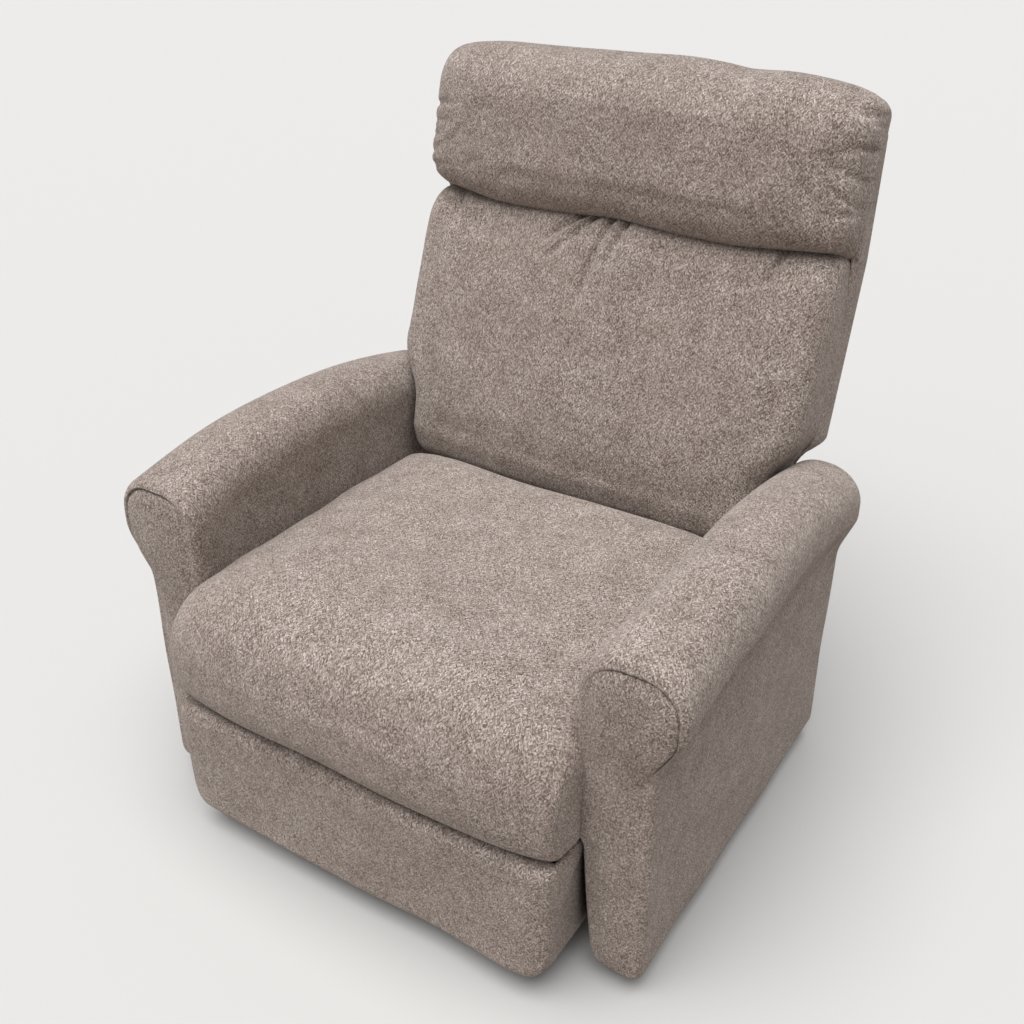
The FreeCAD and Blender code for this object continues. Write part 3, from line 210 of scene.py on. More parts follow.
# The facing's rings: how far in from the edge, and how much of the seam's depth each takes
ARM_FACING_RINGS = [
    (0.0106, 0.3), (0.0114, 1.0), (0.0124, 1.0), (0.0134, 0.4), (0.0150, 0.0), (0.018, 0.0), (0.022, 0.0),
    (0.027, 0.0), (0.032, 0.0)]

# Footrest cover
FOOTREST_CORNER = 0.036
FOOTREST_LIP = 0.0104
FOOTREST_CLOTH = 0.0070
FOOTREST_TOP_RISE = 0.003
FOOTREST_FULLNESS = 0.001
FOOTREST_TOP_DRAW = 0.15
FOOTREST_FRONT_DRAW = 0.4
FOOTREST_BOW = 0.008
FOOTREST_FLAP = 0.018
FOOTREST_FLAP_HEM = 0.002
FOOTREST_FLAP_RADIUS = 0.008
FOOTREST_BOARD_CLEARANCE = 0.0003
FOOTREST_RADIUS = 0.002
FOOTREST_TOP_RADIUS = 0.016
FOOTREST_FOOT_RADIUS = 0.022
FOOTREST_HEM_RADIUS = 0.0005
FOOTREST_POCKET_RADIUS = 0.0003
FOOTREST_FACE = (0.418, 0.430)
FOOTREST_LUMPS = 0.0018
FOOTREST_GRID = (110, 210)
FOOTREST_TURN_RINGS = 10
FOOTREST_RING_GAP = 0.0004

# Boxed sides and outside of the back
BOXING_RUN = (0.030, 0.640)
BOXING_FLARE_FOOT = 0.147
BOXING_FLARE_RISE = 0.055
BOXING_TAPER = 0.010
BOXING_TAPER_FOOT = 0.463
BOXING_THICKNESS = 0.0098
BOXING_CROWN = 0.0015
BOXING_TUCK = 0.004
BOXING_DEPTHS = (-0.0118, -0.030, 0.004, 0.0398)
BOXING_RADII = (0.001, 0.002, 0.060, 0.006, 0.001)
BOXING_GRID = (110, 56)
# The outside panel's rings: depth, and how far in from its edge
OUTSIDE_RINGS = [
    (0.0402, 0.004), (0.043, 0.002), (0.047, 0.003), (0.050, 0.007), (0.052, 0.014), (0.053, 0.028)]
OUTSIDE_RADII = (0.012, 0.06, 0.05, 0.06, 0.3, 0.012)
OUTSIDE_POINTS = 280


# Shader nodes


class Shade:
    """A shader socket that takes part in Python arithmetic; each operator adds one Math node."""

    def __init__(self, tree, socket):
        self.tree = tree
        self.socket = socket

    def maths(self, operation, other=0.0, flipped=False):
        node = self.tree.nodes.new("ShaderNodeMath")
        node.operation = operation
        first, second = (other, self) if flipped else (self, other)
        feed(self.tree, node.inputs[0], first)
        feed(self.tree, node.inputs[1], second)
        return Shade(self.tree, node.outputs[0])

    def __add__(self, other):
        return self.maths("ADD", other)

    def __radd__(self, other):
        return self.maths("ADD", other, True)

    def __sub__(self, other):
        return self.maths("SUBTRACT", other)

    def __rsub__(self, other):
        return self.maths("SUBTRACT", other, True)

    def __mul__(self, other):
        return self.maths("MULTIPLY", other)

    def __rmul__(self, other):
        return self.maths("MULTIPLY", other, True)

    def __gt__(self, other):
        return self.maths("GREATER_THAN", other)

    def clamp(self):
        return self.maths("MAXIMUM", 0.0).maths("MINIMUM", 1.0)


def feed(tree, socket, value):
    """Link a Shade to a socket, or set a plain value on it."""
    if isinstance(value, Shade):
        tree.links.new(value.socket, socket)
    else:
        socket.default_value = value


def pick(sockets, name):
    """The socket in use with a name, which is written with underscores for spaces."""
    return next(socket for socket in sockets if socket.enabled and socket.name == name.replace("_", " "))


def set_stops(elements, stops):
    """Set a colour ramp's stops from pairs of a place and a colour."""
    while len(elements) < len(stops):
        elements.new(0.5)
    for element, (place, colour) in zip(elements, stops):
        element.position = place
        element.color = rgba(colour)


def rgba(colour):
    return (*colour, 1.0)


class Nodes:
    """A node tree, and the one method that adds any node to it but Math."""

    def __init__(self, tree):
        self.tree = tree

    def node(self, kind, settings=None, **sockets):
        """Add a node: its settings first, a ramp's stops among them, then its sockets by name. Gives its
        outputs by name."""
        node = self.tree.nodes.new(kind)
        for key, value in (settings or {}).items():
            if key == "stops":
                set_stops(node.color_ramp.elements, value)
            else:
                setattr(node, key, value)
        for key, value in sockets.items():
            feed(self.tree, pick(node.inputs, key), value)
        return {output.name: Shade(self.tree, output) for output in node.outputs if output.enabled}

    def ramp(self, factor, stops):
        return self.node("ShaderNodeValToRGB", {"stops": stops}, Fac=factor)["Color"]

    def mix(self, factor, first, second):
        """Mix of two colours."""
        return self.node("ShaderNodeMix", {"data_type": "RGBA"}, Factor=factor, A=first, B=second)["Result"]

    def noise(self, place, scale, detail):
        return self.node("ShaderNodeTexNoise", Vector=place, Scale=scale, Detail=detail)["Fac"]

    def split(self, vector):
        """The three parts of a vector."""
        parts = self.node("ShaderNodeSeparateXYZ", Vector=vector)
        return parts["X"], parts["Y"], parts["Z"]

    def sees_the_set(self):
        """1 for rays from the camera, off metal and through glass, which see the pale set, and 0 for
        those that light the object."""
        rays = self.node("ShaderNodeLightPath")
        return (rays["Is Camera Ray"] + rays["Is Glossy Ray"] + rays["Is Transmission Ray"]).clamp()


class Finish(Nodes):
    """One material with a Principled shader."""

    def __init__(self, name):
        self.material = bpy.data.materials.new(name)
        self.material.use_nodes = True
        super().__init__(self.material.node_tree)
        self.shader = self.tree.nodes["Principled BSDF"]

    def place(self):
        return self.node("ShaderNodeTexCoord")["Object"]

    def bump(self, height, distance, strength):
        bump = self.node("ShaderNodeBump", Height=height, Distance=distance, Strength=strength)
        self.set(Normal=bump["Normal"])

    def set(self, **sockets):
        for key, value in sockets.items():
            feed(self.tree, pick(self.shader.inputs, key), value)


# Finishes


def chenille():
    """Flecked chenille: short yarn tufts laid both ways across the dominant face of each surface, light
    and dark flecks, patches of warmer and cooler tone, faint woven rows and a soft nap."""
    f = Finish("chenille_fabric")
    place = f.place()
    across, along = flat_place(f, place)
    sway = f.noise(place, scale=140.0, detail=2.0) - 0.5
    first, first_depth = tufts(f, across, along, sway, TUFT_LEAN)
    second, second_depth = tufts(f, across, along, sway, -TUFT_LEAN)
    turned = ((f.noise(place, scale=150.0, detail=1.0) - 0.46) * 12.0).clamp()
    tuft = first + (second - first) * turned
    depth = first_depth + (second_depth - first_depth) * turned
    fibre = f.noise(place, scale=1100.0, detail=2.0)
    patches = f.noise(place, scale=24.0, detail=4.0)
    broad = f.noise(place, scale=5.0, detail=2.0)
    rows = (along * WOVEN_ROWS).maths("SINE") * (across * WOVEN_ROWS).maths("SINE")
    tone = (tuft * 0.66 + fibre * 0.40 - 0.03 + (patches - 0.5) * 0.28 + rows * 0.06).clamp()
    tinted = f.mix(((broad - 0.35) * 1.2).clamp() * 0.35, f.ramp(tone, YARN), rgba(WARM_YARN))
    f.set(Base_Color=f.mix(((depth - 0.42) * 1.5).clamp(), tinted, rgba(YARN_ROOTS)))
    f.set(Roughness=0.95, Sheen_Weight=0.30, Sheen_Roughness=0.5, Specular_IOR_Level=0.15)
    f.set(Sheen_Tint=rgba(NAP))
    f.bump((1 - depth) * 0.8 + tuft * 0.35 + fibre * 0.45, distance=0.0010, strength=0.8)
    return f.material


def flat_place(f, place):
    """Two coordinates along a surface, read on the plane that it faces most."""
    px, py, pz = f.split(place)
    nx, ny, nz = [part.maths("ABSOLUTE") for part in f.split(f.node("ShaderNodeTexCoord")["Normal"])]
    side = (nx > ny) * (nx > nz)
    top = (nz > ny) * (1 - side)
    return side * py + (1 - side) * px, top * py + (1 - top) * pz


def tufts(f, across, along, sway, lean):
    """Long narrow cells leaning one way: a random tone for each, and the depth towards its border."""
    width = (across * math.cos(lean) + along * math.sin(lean)) * TUFTS_ACROSS + sway * 5.0
    length = (along * math.cos(lean) - across * math.sin(lean)) * TUFTS_ALONG + sway * 2.0
    place = f.node("ShaderNodeCombineXYZ", X=width, Y=length, Z=lean)["Vector"]
    settings = {"voronoi_dimensions": "2D", "feature": "F1"}
    cells = f.node("ShaderNodeTexVoronoi", settings, Vector=place, Scale=1.0, Randomness=1.0)
    return f.node("ShaderNodeSeparateColor", Color=cells["Color"])["Red"], cells["Distance"]


def sawn_plywood():
    """Pale plywood: long grain streaks along X and fine pores."""
    f = Finish("frame_plywood")
    stretched = f.node("ShaderNodeMapping", Vector=f.place(), Scale=(6.0, 90.0, 90.0))["Vector"]
    grain = f.noise(stretched, scale=1.0, detail=6.0)
    pores = f.noise(stretched, scale=7.0, detail=2.0)
    tone = (grain * 0.7 + pores * 0.3).clamp()
    f.set(Base_Color=f.ramp(tone, [(0.3, (0.36, 0.23, 0.12)), (0.7, (0.66, 0.49, 0.30))]))
    f.set(Roughness=0.55 + tone * 0.25)
    f.bump(tone, distance=0.0006, strength=0.5)
    return f.material


def coated_steel():
    """Black powder coat: fine orange-peel bump with rubbed, slightly paler patches."""
    f = Finish("black_powder_coat")
    place = f.place()
    rub = f.noise(place, scale=22.0, detail=5.0)
    f.set(Base_Color=f.ramp(rub, [(0.35, (0.022, 0.023, 0.025)), (0.75, (0.060, 0.061, 0.064))]))
    f.set(Roughness=0.38 + rub * 0.22)
    f.bump(f.noise(place, scale=1400.0, detail=2.0), distance=0.0003, strength=0.4)
    return f.material


def bright_zinc():
    """Zinc-plated steel: a faint spangle."""
    f = Finish("bright_zinc")
    spangle = f.noise(f.place(), scale=160.0, detail=3.0)
    f.set(Base_Color=f.ramp(spangle, [(0.3, (0.40, 0.40, 0.41)), (0.7, (0.62, 0.62, 0.63))]))
    f.set(Metallic=1.0, Roughness=0.28 + spangle * 0.25)
    return f.material


def moulded_nylon():
    """Off-white nylon with a faint moulded grain."""
    f = Finish("moulded_nylon")
    grain = f.noise(f.place(), scale=700.0, detail=2.0)
    f.set(Base_Color=f.ramp(grain, [(0.3, (0.62, 0.61, 0.57)), (0.7, (0.76, 0.75, 0.71))]))
    f.set(Roughness=0.4 + grain * 0.15)
    f.bump(grain, distance=0.0002, strength=0.4)
    return f.material


def black_plastic():
    """Black moulded plastic with a spark-eroded grain."""
    f = Finish("black_moulding")
    grain = f.noise(f.place(), scale=1800.0, detail=2.0)
    f.set(Base_Color=f.ramp(grain, [(0.3, (0.018, 0.018, 0.019)), (0.7, (0.036, 0.036, 0.038))]))
    f.set(Roughness=0.42 + grain * 0.2)
    f.bump(grain, distance=0.0003, strength=0.5)
    return f.material


def elastic_webbing():
    """Dark elastic webbing: fine ribs along its length."""
    f = Finish("elastic_webbing")
    across = f.split(f.place())[0]
    ribs = (across * 2600.0).maths("SINE") * 0.5 + 0.5
    f.set(Base_Color=f.ramp(ribs, [(0.0, (0.03, 0.028, 0.027)), (1.0, (0.12, 0.11, 0.105))]), Roughness=0.8)
    f.bump(ribs, distance=0.0005, strength=0.6)
    return f.material


# Mesh building


def outline_loop(corners, radii, count):
    """Closed outline of count points: straight sides with each corner rounded by its own radius.

    At a corner the arc starts and ends radius * tan(turn / 2) along the two sides, and the
    finished outline is resampled evenly along its length."""
    corners = np.asarray(corners, float)
    way_in = corners - np.roll(corners, 1, axis=0)
    way_out = np.roll(corners, -1, axis=0) - corners
    way_in /= np.linalg.norm(way_in, axis=1)[:, None]
    way_out /= np.linalg.norm(way_out, axis=1)[:, None]
    cross = way_in[:, 0] * way_out[:, 1] - way_in[:, 1] * way_out[:, 0]
    turn = np.abs(np.arctan2(cross, (way_in * way_out).sum(1)))
    trim = (np.asarray(radii, float) * np.tan(turn / 2))[:, None]
    share = np.linspace(0.0, 1.0, 15)[None, :, None]
    weight = np.cos(turn / 2)[:, None, None]
    early, late, middle = (1 - share) ** 2, share ** 2, 2 * share * (1 - share) * weight
    starts, ends = (corners - way_in * trim)[:, None, :], (corners + way_out * trim)[:, None, :]
    arcs = (early * starts + middle * corners[:, None, :] + late * ends) / (early + middle + late)
    points = arcs.reshape(-1, 2)
    closed = np.vstack([points, points[:1]])
    lengths = np.concatenate([[0.0], np.cumsum(np.linalg.norm(np.diff(closed, axis=0), axis=1))])
    wanted = np.linspace(0.0, lengths[-1], count, endpoint=False)
    return np.column_stack([np.interp(wanted, lengths, closed[:, axis]) for axis in (0, 1)])


def side_ring(x, loop):
    """A side-view outline set at its place across the width."""
    return np.column_stack([np.broadcast_to(x, len(loop)), loop])


def plan_ring(loop, height):
    """A plan outline set at its height."""
    return np.column_stack([loop, np.broadcast_to(height, len(loop))])


def mesh_object(name, points, faces):
    mesh = bpy.data.meshes.new(name)
    mesh.from_pydata(points, [], faces)
    mesh.validate()
    mesh.shade_smooth()
    piece = bpy.data.objects.new(name, mesh)
    bpy.context.scene.collection.objects.link(piece)
    return piece


def tube_faces(rings, around):
    """Quads between neighbouring rings, and at each end rungs across the last ring."""
    ring = np.arange(rings - 1)[:, None] * around
    step = np.arange(around)[None, :]
    following = (step + 1) % around
    quads = np.stack([ring + step, ring + following, ring + around + following, ring + around + step], -1)
    rung = np.arange(1, around // 2 - 1)
    across = np.stack([rung, around - rung, around - rung - 1, rung + 1], -1)
    last = (rings - 1) * around
    tips = [[0, around - 1, 1], [around // 2, around // 2 - 1, around // 2 + 1]]
    far_tips = [[last + corner for corner in reversed(tip)] for tip in tips]
    far = last + across[:, ::-1]
    return quads.reshape(-1, 4).tolist() + across.tolist() + far.tolist() + tips + far_tips


def pad_from_rings(name, rings):
    """Closed pad from an array of rings (ring, point, xyz), faces outwards."""
    count, around, _ = rings.shape
    piece = mesh_object(name, rings.reshape(-1, 3).tolist(), tube_faces(count, around))
    mesh = piece.data
    mesh.calc_loop_triangles()
    corners = np.empty(len(mesh.loop_triangles) * 3, np.int32)
    mesh.loop_triangles.foreach_get("vertices", corners)
    points = coordinates(piece)[corners].reshape(-1, 3, 3)
    volume = np.einsum("ij,ij->i", points[:, 0], np.cross(points[:, 1], points[:, 2])).sum()
    if volume < 0:
        mesh.flip_normals()
    return piece


def vertex_values(piece, name):
    flat = np.empty(len(piece.data.vertices) * 3, np.float32)
    piece.data.vertices.foreach_get(name, flat)
    return flat.reshape(-1, 3).astype(float)


def coordinates(piece):
    return vertex_values(piece, "co")


def normals(piece):
    return vertex_values(piece, "normal")


def move_to(piece, points):
    piece.data.vertices.foreach_set("co", points.astype(np.float32).ravel())
    piece.data.update()


def push_along_normals(piece, offsets):
    """Move every vertex along its normal by its own offset."""
    move_to(piece, coordinates(piece) + normals(piece) * offsets[:, None])


def settle(piece):
    """Apply every modifier of a piece to its mesh."""
    graph = bpy.context.evaluated_depsgraph_get()
    piece.data = bpy.data.meshes.new_from_object(piece.evaluated_get(graph))
    piece.modifiers.clear()
    piece.data.shade_smooth()


def plump(piece, resting):
    """Swell a pad by cloth simulation under pressure. It starts slack inside its form; each point then
    moves outwards by no more than a limit, and points that rest on something stay."""
    push_along_normals(piece, STUFFING_SLACK * (resting(coordinates(piece)) - 1.0))
    remesh = piece.modifiers.new("even_mesh", "REMESH")
    remesh.mode = "VOXEL"
    remesh.voxel_size = STUFFING_MESH
    settle(piece)
    start, facing = coordinates(piece), normals(piece)
    group = piece.vertex_groups.new(name="resting")
    group.add(np.flatnonzero(resting(start) > 0.5).tolist(), 1.0, "REPLACE")
    cloth = piece.modifiers.new("stuffing", "CLOTH").settings
    cloth.use_pressure = True
    cloth.uniform_pressure_force = STUFFING_PRESSURE
    cloth.effector_weights.gravity = 0.0
    cloth.vertex_group_mass = group.name
    for step in range(1, STUFFING_FRAMES + 1):
        bpy.context.scene.frame_set(step)
    settle(piece)
    bpy.context.scene.frame_set(1)
    move = coordinates(piece) - start
    rise = (move * facing).sum(1, keepdims=True)
    move += facing * (np.maximum(rise, 0.0) - rise)
    reach = np.linalg.norm(move, axis=1, keepdims=True)
    move_to(piece, start + move * np.minimum(1.0, STUFFING_SWELL / np.maximum(reach, 1e-9)))
    piece.vertex_groups.clear()
    finer = piece.modifiers.new("finer_mesh", "SUBSURF")
    finer.levels = finer.render_levels = 1
    settle(piece)


def lumps(points, depth, seed):
    """Gentle unevenness of stuffing: a sum of sines over random directions, 110 to 280 mm long."""
    rng = np.random.default_rng(seed)
    total = np.zeros(len(points))
    for _ in range(9):
        direction = rng.normal(size=3)
        direction /= np.linalg.norm(direction)
        length = rng.uniform(0.11, 0.28)
        total += np.sin(points @ direction * (2 * math.pi / length) + rng.uniform(0, 6.28))
    return total * depth / 3.0


def creases(across, along, lines, width, depth):
    """Grooves along straight lines in a piece's own two coordinates, fading towards their far ends."""
    total = np.zeros(len(across))
    for (x0, y0), (x1, y1) in lines:
        run = np.array([x1 - x0, y1 - y0])
        reach = np.clip(((across - x0) * run[0] + (along - y0) * run[1]) / (run @ run), 0.0, 1.0)
        distance = np.hypot(across - x0 - reach * run[0], along - y0 - reach * run[1])
        total -= depth * (1 - reach) ** 0.5 * np.exp(-(distance / width) ** 2)
    return total


def spread(half, count):
    """Places across a width, from -half to half, close together at both ends."""
    return half * np.sin(np.linspace(-math.pi / 2, math.pi / 2, count))


def draw_in(share, power):
    """How far a pillow draws in at a share of its half width: 1 - (1 - share^4)^power."""
    return 1 - np.clip(1 - share ** 4, 0.0, 1.0) ** power


def smooth_step(value, start, stop):
    """0 before start and 1 after stop, on the curve 3 s^2 - 2 s^3 between them."""
    share = np.clip((value - start) / (stop - start), 0.0, 1.0)
    return share * share * (3 - 2 * share)


def leaned(points):
    """From the upright drawing of the back (x, depth, height above the pivot) to its leaning place."""
    x, w, u = points[..., 0], points[..., 1], points[..., 2]
    y = BACK_PIVOT[1] + w * math.cos(BACK_LEAN) + u * math.sin(BACK_LEAN)
    z = BACK_PIVOT[2] + u * math.cos(BACK_LEAN) - w * math.sin(BACK_LEAN)
    return np.stack([x, y, z], -1)


def upright(points):
    """The inverse of leaned, as three arrays."""
    y, z = points[:, 1] - BACK_PIVOT[1], points[:, 2] - BACK_PIVOT[2]
    w = y * math.cos(BACK_LEAN) - z * math.sin(BACK_LEAN)
    u = y * math.sin(BACK_LEAN) + z * math.cos(BACK_LEAN)
    return points[:, 0], w, u


def dress(piece, material, body, nodes):
    """Give a padded piece its finish and its body, and hide the CAD nodes that it stands in for."""
    piece.data.materials.append(material)
    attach(piece, body)
    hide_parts(*nodes)


# Upholstered pieces


def seat_pad():
    """Seat cushion: side profile with a sloping rear, crowned top, waterfall front and turned-down lip,
    carried across the width. Its crown, front and radii draw in by 1 - sqrt(1 - (x / half)^4)."""
    low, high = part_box("seat_cushion")
    half = high.x + SEAT_PRESS
    lip_back = low.y + SEAT_LIP_DEPTH
    rings = []
    for x in spread(half, SEAT_GRID[0]):
        share = x / half
        draw = draw_in(share, 0.5)
        crown = high.z + SEAT_CROWN_RISE - SEAT_EDGE_DROP * draw
        lip = low.z + SEAT_LIP_RISE * draw
        front = low.y + SEAT_FRONT_DRAW * draw
        rear = SEAT_REAR_TOP + SEAT_REAR_BOW * share ** 2
        tuck = lip_back + SEAT_LIP_TUCK * smooth_step(abs(x), *SEAT_TUCK_ENDS)
        corners = [
            (SEAT_REAR_FOOT, SEAT_DECK), (rear, crown - SEAT_REAR_DROP), (front, crown), (front, lip),
            (tuck, lip), (tuck, SEAT_DECK)]
        scale = (crown - lip) / (high.z - low.z)
        rings.append(side_ring(x, outline_loop(corners, SEAT_RADII * scale, SEAT_GRID[1])))
    piece = pad_from_rings("seat_pad", np.array(rings))

    def resting(points):
        on_deck = 1 - smooth_step(points[:, 2], *SEAT_REST_HEIGHTS)
        on_arms = smooth_step(np.abs(points[:, 0]), *SEAT_REST_SIDES)
        behind_lip = smooth_step(points[:, 1], *(lip_back - reach for reach in SEAT_LIP_FREE))
        return np.maximum(on_deck, on_arms) * behind_lip

    plump(piece, resting)
    push_along_normals(piece, lumps(coordinates(piece), SEAT_LUMPS, seed=3))
    return piece


def back_half_width(u, flare_foot, flare_rise):
    """Half width of the back at a height: narrow between the arms, then an S-curve outwards."""
    return BACK_HALF_WIDTH + BACK_FLARE * smooth_step(u, flare_foot, flare_foot + flare_rise)


def back_pad():
    """Back cushion: plan outline with rounded front corners and a crowned front, carried up the back;
    its depth follows a profile that is fullest at the lumbar."""
    levels, depths, shrinks = np.transpose(BACK_PAD_LEVELS)
    run = np.linspace(*BACK_PAD_RUN, BACK_PAD_GRID[0])
    heights = np.concatenate([BACK_PAD_FOOT_RINGS, run, BACK_PAD_TOP_RINGS])
    rings = []
    for u in heights:
        half = back_half_width(u, BACK_PAD_FLARE_FOOT, BACK_PAD_FLARE_RISE) - np.interp(u, levels, shrinks)
        front = BACK_PAD_SEAT - np.interp(u, levels, depths)
        side_front = front + BACK_PAD_CROWN
        corners = [
            (-half, BACK_PAD_SEAT), (half, BACK_PAD_SEAT), (half, side_front), (0.0, front),
            (-half, side_front)]
        rings.append(plan_ring(outline_loop(corners, BACK_PAD_RADII, BACK_PAD_GRID[1]), u))
    piece = pad_from_rings("back_pad", leaned(np.array(rings)))
    plump(piece, lambda points: smooth_step(upright(points)[1], *BACK_PAD_REST))
    points = coordinates(piece)
    x, w, u = upright(points)
    puckers = smooth_step(-w, *BACK_PAD_FACE) * creases(x, u, PUCKERS, PUCKER_WIDTH, PUCKER_DEPTH)
    push_along_normals(piece, lumps(points, BACK_PAD_LUMPS, seed=11) + puckers)
    return piece


def headrest_pad():
    """Headrest pillow: full front, rounded top, folded over the top rail, carried across the width.
    Its ends draw in by 1 - (1 - (x / half)^4)^(1/4), its crest and foot wave gently, and it narrows
    where it folds over."""
    rings = []
    for x in spread(HEAD_HALF_WIDTH, HEAD_GRID[0]):
        draw = draw_in(x / HEAD_HALF_WIDTH, 0.25)
        front, rear = HEAD_FRONT + HEAD_FRONT_DRAW * draw, HEAD_REAR - HEAD_REAR_DRAW * draw
        dip = HEAD_DIP * np.exp(-((x - HEAD_DIP_PLACE) / HEAD_DIP_WIDTH) ** 2)
        crest = HEAD_TOP - HEAD_TOP_DRAW * draw - dip + HEAD_WAVE * math.sin(x * HEAD_CREST_WAVES)
        hem_wave = HEAD_WAVE * math.sin(x * HEAD_HEM_WAVES + HEAD_HEM_SHIFT)
        hem = HEAD_FOOT - HEAD_HEM_SAG + HEAD_HEM_DRAW * draw + hem_wave
        corners = [
            (HEAD_SEAT, HEAD_FOOT), (HEAD_SEAT, HEAD_SILL), (rear, HEAD_SILL),
            (rear, crest - HEAD_REAR_DROP), (front, crest), (front, hem)]
        scale = 1 - HEAD_RADII_DRAW * draw
        radii = [HEAD_EDGE] * 3 + [radius * scale for radius in HEAD_RADII]
        loop = outline_loop(corners, radii, HEAD_GRID[1])
        narrowing = HEAD_REAR_NARROWING * smooth_step(loop[:, 0], *HEAD_FOLD)
        rings.append(side_ring(x * (1 - narrowing), loop))
    piece = pad_from_rings("headrest_pad", leaned(np.array(rings)))

    def resting(points):
        _, w, u = upright(points)
        return smooth_step(w, *HEAD_REST_DEPTHS) * (1 - smooth_step(u, *HEAD_REST_HEIGHTS))

    plump(piece, resting)
    points = coordinates(piece)
    x, w, u = upright(points)
    gathers = creases(x, u, gather_lines(), GATHER_WIDTH, GATHER_DEPTH)
    push_along_normals(piece, smooth_step(-w, *HEAD_FACE) * (lumps(points, HEAD_LUMPS, seed=23) + gathers))
    return piece


def gather_lines():
    """Lines of random height and length, running in from both ends of the headrest."""
    rng = np.random.default_rng(29)
    starts, turns = rng.uniform(*GATHER_HEIGHTS, GATHERS), rng.normal(0.0, GATHER_TURN, GATHERS)
    reaches = rng.uniform(*GATHER_REACH, GATHERS) * np.repeat([-1, 1], GATHERS // 2)
    return [
        ((math.copysign(GATHER_START, reach), start), (reach, start + turn))
        for start, turn, reach in zip(starts, turns, reaches)]


def arm_loop(y, inset):
    """Front view of the left arm: inner face drawn in to the foot, rolled top, flared outer side. The
    ridge is a parabola along the arm through its front, middle and rear heights."""
    top, foot = np.polyval(ARM_RIDGE, y) - inset, ARM_FOOT + inset
    inner, outer = ARM_INNER + inset, ARM_OUTER - inset
    roll = ARM_ROLL - inset - ARM_ROLL_TAPER * smooth_step(y, *ARM_ROLL_RUN)
    cheek = inner - ARM_CHEEK * smooth_step(-y, *ARM_CHEEK_RUN)
    cheek_foot, cheek_top = ARM_CHEEK_FOOT
    corners = [
        (inner + ARM_INNER_TAPER, foot), (inner + ARM_CHEEK_STEP, cheek_foot), (cheek, cheek_top),
        (cheek, top), (roll, top), (roll, top - ARM_ROLL_DEPTH), (outer, top - ARM_ROLL_FOOT), (outer, foot)]
    radii = np.maximum(ARM_RADII - inset * ARM_RADII_INSET, ARM_LEAST_RADIUS)
    return outline_loop(corners, radii, ARM_GRID[1])


def arm_cover(side):
    """Arm upholstery, one closed skin: the front view carried from back to front, rounded at the rear,
    turned over a soft front edge, sunk in a seam that fades down both sides, and domed on its facing."""
    rear_turn = np.radians(np.linspace(90.0, 0.0, ARM_TURN_RINGS))
    front_turn = np.radians(np.linspace(0.0, 84.0, ARM_TURN_RINGS))
    rear = ARM_REAR - ARM_REAR_ROUND
    runs = [(rear + ARM_REAR_ROUND * math.sin(t), ARM_REAR_ROUND * (1 - math.cos(t)), 0.0) for t in rear_turn]
    straight = np.linspace(rear - ARM_RING_GAP, ARM_FRONT + ARM_RING_GAP, ARM_GRID[0])
    runs += [(y, 0.0, 0.0) for y in straight]
    runs += [
        (ARM_FRONT - ARM_FRONT_TURN * math.sin(t), ARM_FRONT_INSET * (1 - math.cos(t)), 0.0)
        for t in front_turn]
    runs += [
        (ARM_FRONT - ARM_FRONT_TURN - ARM_FACING_DOME * smooth_step(inset, *ARM_DOME_INSETS), inset, groove)
        for inset, groove in ARM_FACING_RINGS]
    rings = []
    for y, inset, groove in runs:
        loop = arm_loop(y, inset)
        sewn = smooth_step(loop[:, 1], *ARM_SEAM_HEIGHTS) * smooth_step(loop[:, 0], *ARM_SEAM_PLACES)
        rings.append(np.column_stack([loop[:, 0] * side, y + groove * ARM_SEAM_DEPTH * sewn, loop[:, 1]]))
    piece = pad_from_rings("arm_cover_l" if side > 0 else "arm_cover_r", np.array(rings))
    push_along_normals(piece, lumps(coordinates(piece), ARM_LUMPS, seed=31 + side))
    return piece


